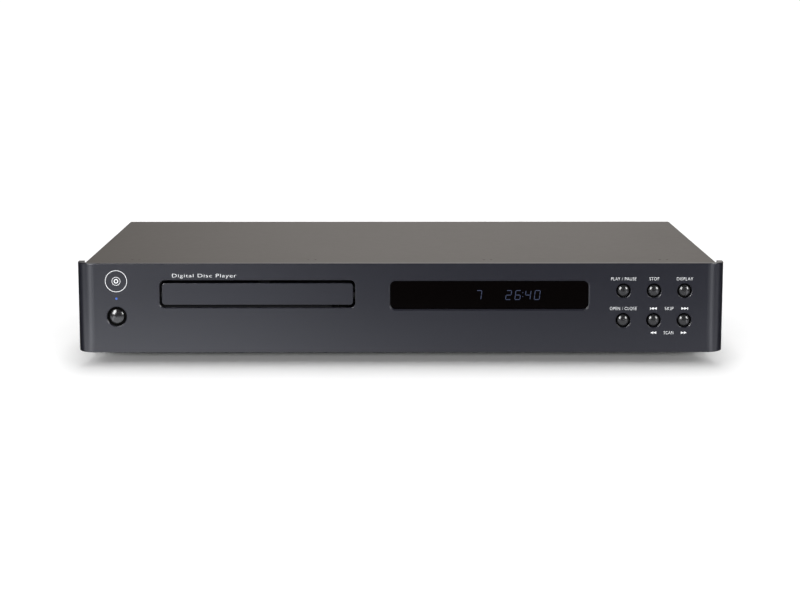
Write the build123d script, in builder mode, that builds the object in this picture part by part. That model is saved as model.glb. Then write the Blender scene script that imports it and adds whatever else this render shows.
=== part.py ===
from build123d import *

import math
import os

# A slim hi-fi disc player, 435 mm wide: steel case, moulded front, motor-driven disc tray and its insides.
# Millimetres. +X is to the right as the user faces it, +Y runs from the front panel to the rear, +Z is up.
# The origin is on the surface that the feet stand on, under the middle of the overall length and width.

os.makedirs("parts", exist_ok=True)

# ---------------------------------------------------------------- driving dimensions
# Case
width = 435.0  # across the front panel
body_depth = 238.5  # front face to the rearmost sheet
panel_height = 60.5
foot_height = 10.0  # surface to the underside of the base pan
panel_drop = 0.5  # the front panel hangs this far below the pan
button_proud = 0.8  # domed caps stand this far out of the front face
jack_reach = 9.7  # phono barrels stand this far out of the rear
sheet = 1.0  # steel sheet
seam = 0.25  # gap between case parts

# Front panel
panel_wall = 3.0
panel_cheek = 4.0
panel_return = 15.0
panel_corner = 12.0
panel_edge = 0.6
rim_chamfer = 0.45
boss_inset = 17.5  # panel's end to the outermost fixing
boss_radius = 3.0
shelf_height = 2.0  # the shelf that closes the gap under the panel, in front of the pan

# Openings in the front panel
slot_width = 131.2
slot_height = 18.7
slot_rise = 39.8  # middle of the tray slot above the panel's lower edge
slot_corner = 3.5
slot_x = -96.1
window_width = 133.2
window_height = 19.2
window_rise = 38.9
window_corner = 3.6
window_bevel = 0.9
window_x = 59.4
window_recess = 1.0
window_fit = 0.15
window_flange = 2.0
window_flange_depth = 1.5

# Tray and its door
door_gap = 1.5
door_gap_above = 2.2
door_gap_below = 1.8
door_recess = 1.2
door_thickness = 3.0
door_corner = 2.2
tray_length = 168.0
tray_travel = 135.0
tray_half = 62.0
tray_flange = 3.0  # how far the running flange stands out of the tray's side
flange_height = 3.0
rim_above_slot = 4.4  # middle of the slot to the tray's rim
seat_depth = 3.0  # rim to the seat of a 120 mm disc
small_seat_depth = 1.5
tray_underside = 2.6  # middle of the slot to the underside of the tray
seat_radius = 60.5
small_seat_radius = 41.0
disc_behind_front = 72.0
slot_half = 24.0  # half the width of the pickup slot in the tray
run_gap = 0.3  # running clearance of sliding mouldings

# Buttons
button_inset = 27.2  # panel's right end to the last column
button_pitch = 20.5
button_rows = (41.9, 21.8)  # above the panel's lower edge
button_hole = 4.9
button_cap = 3.75
power_inset = 26.9  # panel's left end to the power button
power_height = 24.5
power_hole = 6.6
power_cap = 4.7
dome_edge = 0.9  # depth of a cap's edge behind the front face
led_height = 36.7
led_radius = 0.7
button_travel = 0.5
stem_radius = 1.5

# Feet
foot_radius = 20.0
foot_front_inset = 75.0  # front face to the front feet's centres
foot_rear_inset = 38.0
foot_side_inset = 45.0
pad_radius = 15.0
pad_bore = 8.5
pad_height = 2.4

# Fasteners
screw_radius = 1.5
screw_head = 2.8
screw_head_height = 1.8
thread_gap = 0.06

# Loader, all measured from the front face or from the tray's middle line
loader_front = 12.0
loader_length = 184.0
loader_wall = 3.0
deck_bottom = 30.5
deck_thickness = 2.5
loader_bottom = 17.0
loader_top = 56.0
ear_reach = 10.0
ear_thickness = 3.0
damper_radius = 6.0
damper_neck = 4.0
damper_flange = 1.5
gear_module = 0.8
pinion_teeth = 20
wheel_teeth = 40
pulley_teeth = 14
gear_backlash = 0.14
drive_u = 44.0  # drive gear axis, to the right of the tray's middle
wheel_gap = 1.36  # clearance around the drive gear's wheel
apron = 2.0
belt_section = 1.2
big_pulley_groove = 10.4
motor_pulley_groove = 2.6
motor_u = -32.0
motor_radius = 12.0
motor_height = 15.0

# Pickup unit
hinge_v = 160.0
hinge_z = 35.0
hinge_pin = 2.0
hinge_clearance = 0.06
chassis_half = 42.0
chassis_gap = 2.0  # cam slider to the chassis
chassis_plate = 2.5
chassis_rise = 33.5
lift_angle = 4.2
cam_travel = 16.0
cam_thickness = 3.0
cam_pin = 1.5
cam_pin_u = 26.0
disc_plane = 52.4  # top of the raised turntable
turntable_radius = 14.5
hub_radius = 7.4
sled_first = 25.0  # lens to spindle with the pickup fully in
sled_travel = 33.0
rod_u = 21.0
rod_radius = 1.5
rod_z = 39.5
sled_module = 0.5
sled_pinion_teeth = 16
sled_wheel_teeth = 28
sled_motor_teeth = 14
sled_rack_u = 29.0
lens_radius = 2.4
sled_gear_v = 120.0

# Rear
rear_lip = 9.0
jack_radius = 4.15
jack_bore = 1.65
line_out_x = (150.0, 176.0)
coax_x = 112.0
jack_height = 36.0
jack_wall = 0.9
jack_collar = 1.25  # how far the collar is wider than the barrel
collar_proud = 0.8  # collars stand this far behind the outermost sheet
optical_x = 84.0
optical_opening = 8.4
optical_wall = 1.4
inlet_x = -168.0
inlet_width = 27.0
inlet_height = 20.0
inlet_flange = 3.0
inlet_face = 2.2  # thickness of the inlet's flange
inlet_depth = 20.0
switch_x = -128.0
rear_part_z = 40.0
rocker_half_width = 5.5
rocker_half_height = 9.0
rocker_tilt = 9.0
switch_depth = 18.0
switch_bezel = 1.5

# Electronics
board_sheet = 1.6
board_rise = 7.0  # pan floor to the underside of the boards
board_left = 2.0
main_board_width = width / 2 - 19.5
main_board_depth = 120.0
main_board_inset = 6.5  # outermost sheet to the main board's rear edge
power_board_width = 130.0
power_board_depth = 78.0
power_board_v = 26.0  # front face to the power board's front edge
board_back = 14.0  # front boards stand this far behind the front face

# ---------------------------------------------------------------- derived places
front_y = -(body_depth + button_proud + jack_reach) / 2 + button_proud
rear_y = front_y + body_depth
rear_v = body_depth - sheet  # outer face of the rear panel, behind the front face
panel_bottom = foot_height - panel_drop
top_z = panel_bottom + panel_height
cover_top = top_z - seam
cover_half = width / 2 - panel_cheek - seam
pan_half = cover_half - sheet - seam
floor_z = foot_height + sheet
band_z = panel_bottom + slot_rise
window_z = panel_bottom + window_rise
flange_v = panel_wall + 6.0  # front flange of the pan, behind the front panel
pan_rear = rear_y - 2 * sheet
door_width = slot_width - 2 * door_gap
door_height = slot_height - door_gap_above - door_gap_below
door_z = band_z + (door_gap_below - door_gap_above) / 2
rim_z = band_z + rim_above_slot
seat_z = rim_z - seat_depth
tray_bottom = band_z - tray_underside
tray_front_v = door_recess + door_thickness
deck_top = deck_bottom + deck_thickness
loader_inner = tray_half + tray_flange + 0.5
loader_outer = loader_inner + loader_wall
loader_rear_v = loader_front + loader_length
button_columns = [width / 2 - button_inset - k * button_pitch for k in (2, 1, 0)]
power_x = -width / 2 + power_inset
power_z = panel_bottom + power_height
led_z = panel_bottom + led_height
jack_z = jack_height
wheel_reach = gear_module * (wheel_teeth / 2 + 0.8)
drive_v = loader_front + apron + wheel_gap + wheel_reach
cam_v = drive_v + wheel_reach + wheel_gap
chassis_front = cam_v + cam_thickness + chassis_gap
board_z = floor_z + board_rise
board_top = board_z + board_sheet


def facing_front(depth):
    """A plane behind the front face by depth, seen from the front: local x is +X and local y is +Z."""
    return Plane(origin=(0, front_y + depth, 0), x_dir=(1, 0, 0), z_dir=(0, -1, 0))


def loader_plane(height):
    """A level plane with its origin on the tray's middle line at the front face; local x and y are u and v."""
    return Plane(origin=(slot_x, front_y, height), x_dir=(1, 0, 0), z_dir=(0, 0, 1))


def finish(builder, name):
    """Labels a finished piece and writes it."""
    builder.part.label = name
    export_step(builder.part, f"parts/{name}.step")


def block(low, high, mode=Mode.ADD):
    """A box between two corners, in the builder that is open."""
    with Locations(tuple((a + b) / 2 for a, b in zip(low, high))):
        Box(*[b - a for a, b in zip(low, high)], mode=mode)


def loader_block(low, high, mode=Mode.ADD):
    """A box between two corners given as u, v and z."""
    middle = Vector(slot_x, front_y, 0)
    block(tuple(Vector(*low) + middle), tuple(Vector(*high) + middle), mode)


def bore_across(places, radius, length):
    """Round holes along X through the middle of each place, in the builder that is open."""
    with Locations([Location(place, (0, 90, 0)) for place in places]):
        Cylinder(radius, length, mode=Mode.SUBTRACT)


def bore_along(places, radius, length):
    """Round holes along Y through the middle of each place, in the builder that is open."""
    with Locations([Location(place, (90, 0, 0)) for place in places]):
        Cylinder(radius, length, mode=Mode.SUBTRACT)


def tooth_angle(teeth, module, radius):
    """Half the angle that one involute tooth fills at a radius, for a 20 degree pressure angle."""
    pitch = module * teeth / 2
    base = pitch * math.cos(math.radians(20))
    at_pitch = math.pi / (2 * teeth) - gear_backlash / (4 * pitch)
    involute = lambda r: math.tan(math.acos(base / r)) - math.acos(base / r) if r > base else 0.0
    return at_pitch + involute(pitch) - involute(radius)


def gear_face(teeth, module, start=0.0):
    """A spur gear's outline with stub teeth, the first tooth at the angle start."""
    pitch = module * teeth / 2
    root, tip = pitch - 1.1 * module, pitch + 0.8 * module

    def point(radius, side):
        return Vector(radius, 0).rotate(Axis.Z, side * math.degrees(tooth_angle(teeth, module, radius)))

    with BuildSketch() as tooth:
        with BuildLine():
            flank = ThreePointArc(point(root - 0.2, -1), point(pitch, -1), point(tip, -1))
            crest = Line(flank @ 1, point(tip, 1))
            back = ThreePointArc(crest @ 1, point(pitch, 1), point(root - 0.2, 1))
            Line(back @ 1, flank @ 0)
        make_face()
    with BuildSketch() as gear:
        Circle(root)
        with PolarLocations(0, teeth, start_angle=start):
            add(tooth.sketch)
    return gear.sketch


def rack_face(count, module, depth):
    """A rack's outline: teeth point to +x, pitch line at x = 0, a space centred on the origin."""
    pitch = math.pi * module
    half = pitch / 4 - gear_backlash / 4
    lean = math.tan(math.radians(20))
    tip, root = 0.8 * module, -1.1 * module
    foot = root - 0.1
    with BuildSketch() as tooth:
        with BuildLine():
            Polyline(
                (foot, -half + foot * lean),
                (tip, -half + tip * lean),
                (tip, half - tip * lean),
                (foot, half - foot * lean),
                close=True,
            )
        make_face()
    with BuildSketch() as rack:
        with Locations((root - depth / 2, pitch * count / 2)):
            Rectangle(depth, pitch * count)
        with Locations([(0, (i + 0.5) * pitch) for i in range(count)]):
            add(tooth.sketch)
    return rack.sketch


# ================================================================ case
panel_boss_x = [k * (width / 2 - boss_inset) / 2 for k in range(-2, 3)]
panel_boss_z = floor_z + 7.0
window_end = window_x + window_width / 2
control_boss_x = (window_x - window_width / 2 - 6.3, window_end + 10.0, button_columns[2] + 13.7)
control_bosses = [(x, z) for x in control_boss_x for z in (panel_bottom + 20.5, top_z - 7.0)]
standby_bosses = [(power_x - 13.4, power_z - 2.5), (power_x + 13.6, power_z + 14.0)]
board_bosses = control_bosses + standby_bosses
buttons = {
    "play_pause_button": (button_columns[0], panel_bottom + button_rows[0]),
    "stop_button": (button_columns[1], panel_bottom + button_rows[0]),
    "display_button": (button_columns[2], panel_bottom + button_rows[0]),
    "open_close_button": (button_columns[0], panel_bottom + button_rows[1]),
    "previous_button": (button_columns[1], panel_bottom + button_rows[1]),
    "next_button": (button_columns[2], panel_bottom + button_rows[1]),
}

with BuildPart() as front_panel:
    with BuildSketch(Plane.XY.offset(panel_bottom)) as outline:
        with Locations((0, front_y)):
            Rectangle(width, panel_return, align=(Align.CENTER, Align.MIN))
        fillet(outline.vertices().group_by(Axis.Y)[0], panel_corner)
    extrude(amount=panel_height)
    with BuildSketch(Plane.XY.offset(panel_bottom)) as pocket:
        with Locations((0, front_y + panel_wall)):
            Rectangle(width - 2 * panel_cheek, panel_return, align=(Align.CENTER, Align.MIN))
        fillet(pocket.vertices().group_by(Axis.Y)[0], panel_corner - panel_cheek)
    extrude(amount=panel_height, mode=Mode.SUBTRACT)
    with BuildSketch(facing_front(0)):
        with Locations((slot_x, band_z)):
            RectangleRounded(slot_width, slot_height, slot_corner)
        with Locations((window_x, window_z)):
            RectangleRounded(window_width, window_height, window_corner)
        with Locations(list(buttons.values())):
            Circle(button_hole)
        with Locations((power_x, power_z)):
            Circle(power_hole)
        with Locations((power_x, led_z)):
            Circle(led_radius + thread_gap)
    extrude(amount=-panel_wall, mode=Mode.SUBTRACT)
    rims = front_panel.faces().filter_by(Axis.Y).sort_by(Axis.Y)[0].inner_wires()
    window_rim = rims.sort_by_distance((window_x, front_y, window_z))[0]
    light_rim = rims.sort_by_distance((power_x, front_y, led_z))[0]
    chamfer(window_rim.edges(), window_bevel)
    rims = front_panel.faces().filter_by(Axis.Y).sort_by(Axis.Y)[0].inner_wires()
    near = rims.sort_by_distance((window_x, front_y, window_z))[0]
    others = [rim for rim in rims if rim.length > 2 * light_rim.length and rim != near]
    chamfer([edge for rim in others for edge in rim.edges()], rim_chamfer)
    face = front_panel.faces().filter_by(Axis.Y).sort_by(Axis.Y)[0]
    fillet(face.outer_wire().edges().filter_by(Axis.X), panel_edge)
    block(
        (0.5 - pan_half, front_y + panel_wall - 1, panel_bottom),
        (pan_half - 0.5, front_y + flange_v - seam, panel_bottom + shelf_height),
    )
    with BuildSketch(facing_front(panel_wall)):
        with Locations([(x, panel_boss_z) for x in panel_boss_x]):
            Circle(boss_radius)
    extrude(amount=-(flange_v - panel_wall))
    with BuildSketch(facing_front(panel_wall)):
        with Locations(board_bosses):
            Circle(boss_radius)
    extrude(amount=-(board_back - panel_wall))
    with BuildSketch(facing_front(panel_wall + 1)):
        with Locations([(x, panel_boss_z) for x in panel_boss_x] + board_bosses):
            Circle(screw_radius + thread_gap)
    extrude(amount=-board_back, mode=Mode.SUBTRACT)
finish(front_panel, "front_panel")

cover_front_v = panel_wall + seam
cover_bottom = foot_height + 0.5
cover_bend = 2.5
dimple_span = width - 77.1  # four pairs of small dimples along the cover's front
dimple_middle = -0.7
dimple_pair = 4.8
dimple_v = 20.2
dimple_radius = 0.85
dimple_depth = 0.45
side_screw_z = floor_z + 13.0
side_screws = [(0, y, side_screw_z) for y in (front_y + 62.0, rear_y - 46.0)]
rear_screw_x = [k * (width / 2 - 67.5) for k in (-1, 0, 1)]
rear_screw_z = cover_top - 4.8
screw_bore = screw_radius + thread_gap

with BuildPart() as top_cover:
    with BuildSketch(facing_front(cover_front_v)) as section:
        with Locations((0, cover_bottom)):
            Rectangle(2 * cover_half, cover_top - cover_bottom, align=(Align.CENTER, Align.MIN))
        fillet(section.vertices().group_by(Axis.Y)[-1], cover_bend)
    extrude(amount=-(body_depth - cover_front_v))
    with BuildSketch(facing_front(cover_front_v)) as hollow:
        with Locations((0, cover_bottom)):
            Rectangle(
                2 * (cover_half - sheet), cover_top - sheet - cover_bottom, align=(Align.CENTER, Align.MIN)
            )
        fillet(hollow.vertices().group_by(Axis.Y)[-1], cover_bend - sheet)
    extrude(amount=-(body_depth - cover_front_v - sheet), mode=Mode.SUBTRACT)
    with BuildSketch(facing_front(body_depth - 2 * sheet)):
        with Locations((0, cover_bottom)):
            Rectangle(
                2 * (cover_half - sheet),
                cover_top - rear_lip - cover_bottom,
                align=(Align.CENTER, Align.MIN),
            )
    extrude(amount=-2 * sheet, mode=Mode.SUBTRACT)
    with BuildSketch(Plane.XY.offset(cover_bottom)) as plan:
        with Locations((0, front_y + cover_front_v)):
            Rectangle(2 * cover_half, body_depth, align=(Align.CENTER, Align.MIN))
        fillet(plan.vertices().group_by(Axis.Y)[0], panel_corner - panel_cheek)
    extrude(amount=cover_top - cover_bottom, mode=Mode.INTERSECT)
    with BuildSketch(Plane.XY.offset(cover_top)):
        with Locations((dimple_middle, front_y + dimple_v)):
            with GridLocations(dimple_span / 3, 1, 4, 1):
                with GridLocations(dimple_pair, 1, 2, 1):
                    Circle(dimple_radius)
    extrude(amount=-dimple_depth, mode=Mode.SUBTRACT)
    bore_across(side_screws, screw_bore, 2 * cover_half)
    bore_along([(x, rear_y - sheet / 2, rear_screw_z) for x in rear_screw_x], screw_bore, sheet)
finish(top_cover, "top_cover")

mount_inset = 14.0
mount_places = [
    (slot_x + side * (loader_outer + ear_reach / 2), front_y + v)
    for side in (-1, 1)
    for v in (loader_front + mount_inset, loader_rear_v - mount_inset)
]
post_inset = 5.0
main_board_x = board_left + main_board_width / 2
main_board_y = rear_y - main_board_inset - main_board_depth / 2
power_board_x = board_left + power_board_width / 2
power_board_y = front_y + power_board_v + power_board_depth / 2


def corners(x, y, length, depth):
    """The four corner fixings of a board centred on x and y."""
    half_x, half_y = length / 2 - post_inset, depth / 2 - post_inset
    return [(x + i * half_x, y + j * half_y) for i in (-1, 1) for j in (-1, 1)]


main_posts = corners(main_board_x, main_board_y, main_board_width, main_board_depth)
power_posts = corners(power_board_x, power_board_y, power_board_width, power_board_depth)
post_places = main_posts + power_posts
pan_flange_top = floor_z + 25.0
front_flange_top = floor_z + 15.0
rear_flange_top = floor_z + 8.0
pan_screw_x = [22.5 - width / 2, -70.0, 30.0, width / 2 - 22.5]
pan_screw_z = floor_z + 5.0
foot_places = [
    (side * (width / 2 - foot_side_inset), y)
    for side in (-1, 1)
    for y in (front_y + foot_front_inset, rear_y - foot_rear_inset)
]
vent_fields = [(power_board_x, power_board_y)] + [(main_board_x + k * 28.0, main_board_y) for k in (-1, 1)]
vent_slot = 22.0
vent_width = 2.6
vent_pitch = 6.0

with BuildPart() as base_pan:
    block((-pan_half, front_y + flange_v, foot_height), (pan_half, pan_rear, pan_flange_top))
    block(
        (-pan_half + sheet, front_y + flange_v + sheet, floor_z),
        (pan_half - sheet, pan_rear - sheet, pan_flange_top),
        Mode.SUBTRACT,
    )
    block(
        (-pan_half, front_y + flange_v, front_flange_top),
        (pan_half, front_y + flange_v + sheet + 6, pan_flange_top),
        Mode.SUBTRACT,
    )
    block(
        (-pan_half, pan_rear - sheet - 6, rear_flange_top),
        (pan_half, pan_rear, pan_flange_top),
        Mode.SUBTRACT,
    )
    with BuildSketch(Plane.XY.offset(foot_height)):
        with Locations(foot_places):
            Circle(screw_radius + 0.5)
        with Locations(mount_places + post_places):
            Circle(screw_bore)
        for field in vent_fields:
            with Locations(field):
                with GridLocations(vent_slot + 5, vent_pitch, 2, 7):
                    SlotOverall(vent_slot, vent_width)
    extrude(amount=sheet, mode=Mode.SUBTRACT)
    bore_along([(x, front_y + flange_v + sheet / 2, panel_boss_z) for x in panel_boss_x], screw_bore, sheet)
    bore_along([(x, pan_rear - sheet / 2, pan_screw_z) for x in pan_screw_x], screw_bore, sheet)
    bore_across(side_screws, screw_bore, 2 * pan_half)
finish(base_pan, "base_pan")

rear_face = rear_y - sheet
switch_half_width = rocker_half_width + 1.2
switch_half_height = rocker_half_height + 1.4
part_gap = 0.2  # clearance of a rear part in its hole

with BuildPart() as rear_panel:
    block((-pan_half, pan_rear, floor_z), (pan_half, rear_face, cover_top - sheet - seam))
    fillet(rear_panel.edges().filter_by(Axis.Y).group_by(Axis.Z)[-1], cover_bend)
    with BuildSketch(facing_front(body_depth)):
        with Locations([(x, jack_z) for x in (*line_out_x, coax_x)]):
            Circle(jack_radius + jack_collar + 2 * part_gap)
        with Locations((optical_x, jack_z)):
            Rectangle(*2 * (optical_opening + 2 * optical_wall + part_gap,))
        with Locations((inlet_x, rear_part_z)):
            RectangleRounded(inlet_width + 2 * part_gap, inlet_height + 2 * part_gap, 3.0)
        with Locations((switch_x, rear_part_z)):
            Rectangle(2 * (switch_half_width + part_gap), 2 * (switch_half_height + part_gap))
        with Locations([(x, rear_screw_z) for x in rear_screw_x] + [(x, pan_screw_z) for x in pan_screw_x]):
            Circle(screw_bore)
    extrude(amount=3 * sheet, mode=Mode.SUBTRACT)
finish(rear_panel, "rear_panel")

# ---------------------------------------------------------------- feet and screws
foot_lift = 1.4  # the moulding stops short of the surface, and the pad reaches it
foot_taper = 1.5
foot_seat = 5.0
screw_flare = 3.2

with BuildPart() as feet:
    with Locations([(x, y, foot_lift) for x, y in foot_places]):
        Cone(
            foot_radius - foot_taper,
            foot_radius,
            foot_height - foot_lift,
            align=(Align.CENTER, Align.CENTER, Align.MIN),
        )
    with BuildSketch(Plane.XY.offset(foot_lift)):
        with Locations(foot_places):
            Circle(screw_flare + 0.4)
    extrude(amount=foot_seat - foot_lift, mode=Mode.SUBTRACT)
    with BuildSketch(Plane.XY.offset(foot_lift)):
        with Locations(foot_places):
            Circle(pad_radius + 0.1)
            Circle(pad_bore - 0.1, mode=Mode.SUBTRACT)
    extrude(amount=pad_height - foot_lift, mode=Mode.SUBTRACT)
    with BuildSketch(Plane.XY.offset(foot_seat)):
        with Locations(foot_places):
            Circle(screw_radius + 0.3)
    extrude(amount=foot_height - foot_seat, mode=Mode.SUBTRACT)
finish(feet, "feet")

with BuildPart() as foot_pads:
    with BuildSketch(Plane.XY):
        with Locations(foot_places):
            Circle(pad_radius)
            Circle(pad_bore, mode=Mode.SUBTRACT)
    extrude(amount=pad_height)
finish(foot_pads, "foot_pads")


drive_width = 0.7
drive_depth = 1.0
short_screw = 6.0
board_screw = 9.0
grommet_top = loader_bottom + ear_thickness + damper_flange


def screw(length, head=screw_head):
    """A cross-head screw with the underside of its head on the origin, looking up."""
    with BuildPart() as piece:
        with BuildSketch():
            Circle(head)
        extrude(amount=screw_head_height)
        with BuildSketch():
            Circle(screw_radius)
        extrude(amount=-length)
        with BuildSketch(Plane.XY.offset(screw_head_height)):
            Rectangle(head, drive_width)
            Rectangle(drive_width, head)
        extrude(amount=-drive_depth, mode=Mode.SUBTRACT)
    return piece.part


def set_screws(piece, places, direction):
    """Puts a screw at each place, its head looking along the direction, in the builder that is open."""
    with Locations([Plane(origin=place, z_dir=direction).location for place in places]):
        add(piece)


foot_screw = screw(foot_height + sheet - foot_seat + 1.0, screw_flare)
case_screw = screw(short_screw)
front_board_screw = screw(board_screw)
mount_screw = screw(grommet_top - foot_height - 0.2)
post_screw = screw(board_top - foot_height - 0.2)

with BuildPart() as screws:
    set_screws(foot_screw, [(x, y, foot_seat) for x, y in foot_places], (0, 0, -1))
    set_screws(case_screw, [(x, front_y + flange_v + sheet, panel_boss_z) for x in panel_boss_x], (0, 1, 0))
    set_screws(
        front_board_screw, [(x, front_y + board_back + board_sheet, z) for x, z in board_bosses], (0, 1, 0)
    )
    for side in (-1, 1):
        set_screws(case_screw, [(side * cover_half, y, z) for x, y, z in side_screws], (side, 0, 0))
    set_screws(case_screw, [(x, rear_y, rear_screw_z) for x in rear_screw_x], (0, 1, 0))
    set_screws(case_screw, [(x, rear_face, pan_screw_z) for x in pan_screw_x], (0, 1, 0))
    set_screws(mount_screw, [(x, y, grommet_top) for x, y in mount_places], (0, 0, 1))
    set_screws(post_screw, [(x, y, board_top) for x, y in post_places], (0, 0, 1))
finish(screws, "screws")

# ================================================================ front controls
guide_front = panel_wall + 0.1
guide_back = 7.0
guide_clearance = 0.1
guide_margin = 7.5
shoulder = 1.3
stem_end = 11.0
switch_gap = 0.1

with BuildPart() as display_window:
    with BuildSketch(facing_front(window_recess)):
        with Locations((window_x, window_z)):
            RectangleRounded(
                window_width - 2 * window_fit, window_height - 2 * window_fit, window_corner - window_fit
            )
    extrude(amount=-(panel_wall + 0.1 - window_recess))
    with BuildSketch(facing_front(panel_wall + 0.1)):
        with Locations((window_x, window_z)):
            Rectangle(window_width + 2 * window_flange, window_height + 2 * window_flange)
    extrude(amount=-window_flange_depth)
    chamfer(display_window.faces().sort_by(Axis.Y)[0].edges(), 0.3)
finish(display_window, "display_window")


def push_button(name, x, z, cap):
    """A domed cap with a retaining shoulder and a stem that reaches the switch behind it."""
    rise = button_proud + dome_edge
    dome_radius = (cap**2 + rise**2) / (2 * rise)
    back = guide_back + 0.05
    with BuildPart() as button:
        with BuildSketch(Plane(origin=(x, front_y, z), x_dir=(1, 0, 0), z_dir=(0, 0, 1))):
            with BuildLine():
                dome = ThreePointArc(
                    (0, -button_proud),
                    (cap / 2, dome_radius - button_proud - math.sqrt(dome_radius**2 - cap**2 / 4)),
                    (cap, dome_edge),
                )
                Polyline(
                    dome @ 1,
                    (cap, back),
                    (cap + shoulder, back),
                    (cap + shoulder, back + shoulder),
                    (stem_radius, back + shoulder),
                    (stem_radius, stem_end),
                    (0, stem_end),
                    (0, -button_proud),
                )
            make_face()
        revolve(axis=Axis((x, front_y, z), (0, 1, 0)))
    finish(button, name)


for button_name, (x, z) in buttons.items():
    push_button(button_name, x, z, button_cap)
push_button("power_button", power_x, power_z, power_cap)

with BuildPart() as button_guides:
    with BuildSketch(facing_front(guide_front)):
        with Locations((button_columns[1], panel_bottom + sum(button_rows) / 2)):
            Rectangle(
                button_columns[2] - button_columns[0] + 2 * guide_margin,
                button_rows[0] - button_rows[1] + 2 * guide_margin,
            )
        with Locations((power_x, power_z)):
            Circle(power_hole + 2.5)
        with Locations(list(buttons.values())):
            Circle(button_cap + guide_clearance, mode=Mode.SUBTRACT)
        with Locations((power_x, power_z)):
            Circle(power_cap + guide_clearance, mode=Mode.SUBTRACT)
    extrude(amount=-(guide_back - guide_front))
finish(button_guides, "button_guides")

led_back = 11.5
with BuildPart() as power_light:
    with BuildSketch(facing_front(0)):
        with Locations((power_x, led_z)):
            Circle(led_radius)
    extrude(amount=-led_back)
    with BuildSketch(facing_front(panel_wall + 0.1)):
        with Locations((power_x, led_z)):
            Circle(2 * led_radius)
    extrude(amount=-(led_back - panel_wall - 0.1))
finish(power_light, "power_light")

control_margin = 3.5
with BuildPart() as front_boards:
    for places in (control_bosses, standby_bosses):
        low_x, high_x = min(x for x, z in places), max(x for x, z in places)
        low_z, high_z = min(z for x, z in places), max(z for x, z in places)
        block(
            (low_x - control_margin, front_y + board_back, low_z - control_margin + 0.5),
            (high_x + control_margin, front_y + board_back + board_sheet, high_z + control_margin),
        )
    with BuildSketch(facing_front(board_back)):
        with Locations(board_bosses):
            Circle(screw_radius + 0.2)
    extrude(amount=-board_sheet, mode=Mode.SUBTRACT)
finish(front_boards, "front_boards")

switch_front = stem_end + button_travel + switch_gap
switch_size = 6.0
sensor_x = window_end - 8.0
sensor_v = 7.0
board_rear_v = board_back + board_sheet
driver_size = (24.0, 6.0)
plug_depth = 4.0
cable_x = button_columns[2] - 11.3
cable_half = 7.0
cable_front_z = 38.0
with BuildPart() as front_board_parts:
    with BuildSketch(facing_front(switch_front)):
        with Locations(list(buttons.values()) + [(power_x, power_z)]):
            Rectangle(switch_size, switch_size)
        with Locations((power_x, led_z)):
            Circle(1.6)
    extrude(amount=-(board_back - switch_front))
    block(
        (sensor_x - 3, front_y + sensor_v, window_z - 4),
        (sensor_x + 3, front_y + board_back, window_z + 4),
    )
    with Locations((sensor_x, front_y + sensor_v, window_z)):
        Sphere(2.0)
    with BuildSketch(facing_front(board_rear_v)):
        with Locations((window_x, window_z - 10)):
            Rectangle(*driver_size)
        with Locations((cable_x, cable_front_z)):
            Rectangle(2 * cable_half + 2, 5)
    extrude(amount=-plug_depth)
finish(front_board_parts, "front_board_parts")

tube_width, tube_height = 96.0, 20.0
tube_front, tube_depth = 6.0, 5.0
with BuildPart() as display_tube:
    with BuildSketch(facing_front(tube_front)):
        with Locations((window_x, window_z)):
            Rectangle(tube_width, tube_height)
    extrude(amount=-tube_depth)
    fillet(display_tube.edges().filter_by(Axis.Y), 1.0)
    block(
        (window_x - tube_width / 2 + 3, front_y + tube_front + tube_depth, window_z - tube_height / 2),
        (window_x + tube_width / 2 - 3, front_y + board_back, window_z - tube_height / 2 + 1),
    )
finish(display_tube, "display_tube")

# ================================================================ loader
lip_reach = 2.7
ledge_bottom = tray_bottom - run_gap - 2.5
lip_bottom = tray_bottom + flange_height + run_gap
cam_guide = 0.3
cam_left, cam_right = -58.0, 42.0
cam_bottom, cam_top = 22.5, 39.0
well_half = 45.0
well_rear = 174.0
pulley_u = drive_u - gear_module * (wheel_teeth + pulley_teeth) / 2
gear_post = 2.0
post_fit = 0.05
bearing_length = 4.0
bearing_half = 5.0
bridge_front, bridge_rear = 50.0, 94.0
bridge_sheet = 2.0
bridge_ear = 6.0
bridge_screw_v = (bridge_front + 5, bridge_rear - 5)
bridge_screws = [(side * (loader_outer + bridge_ear / 2), v) for side in (-1, 1) for v in bridge_screw_v]
apron_top = tray_bottom - run_gap - 0.2
post_height = 8.5

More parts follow.
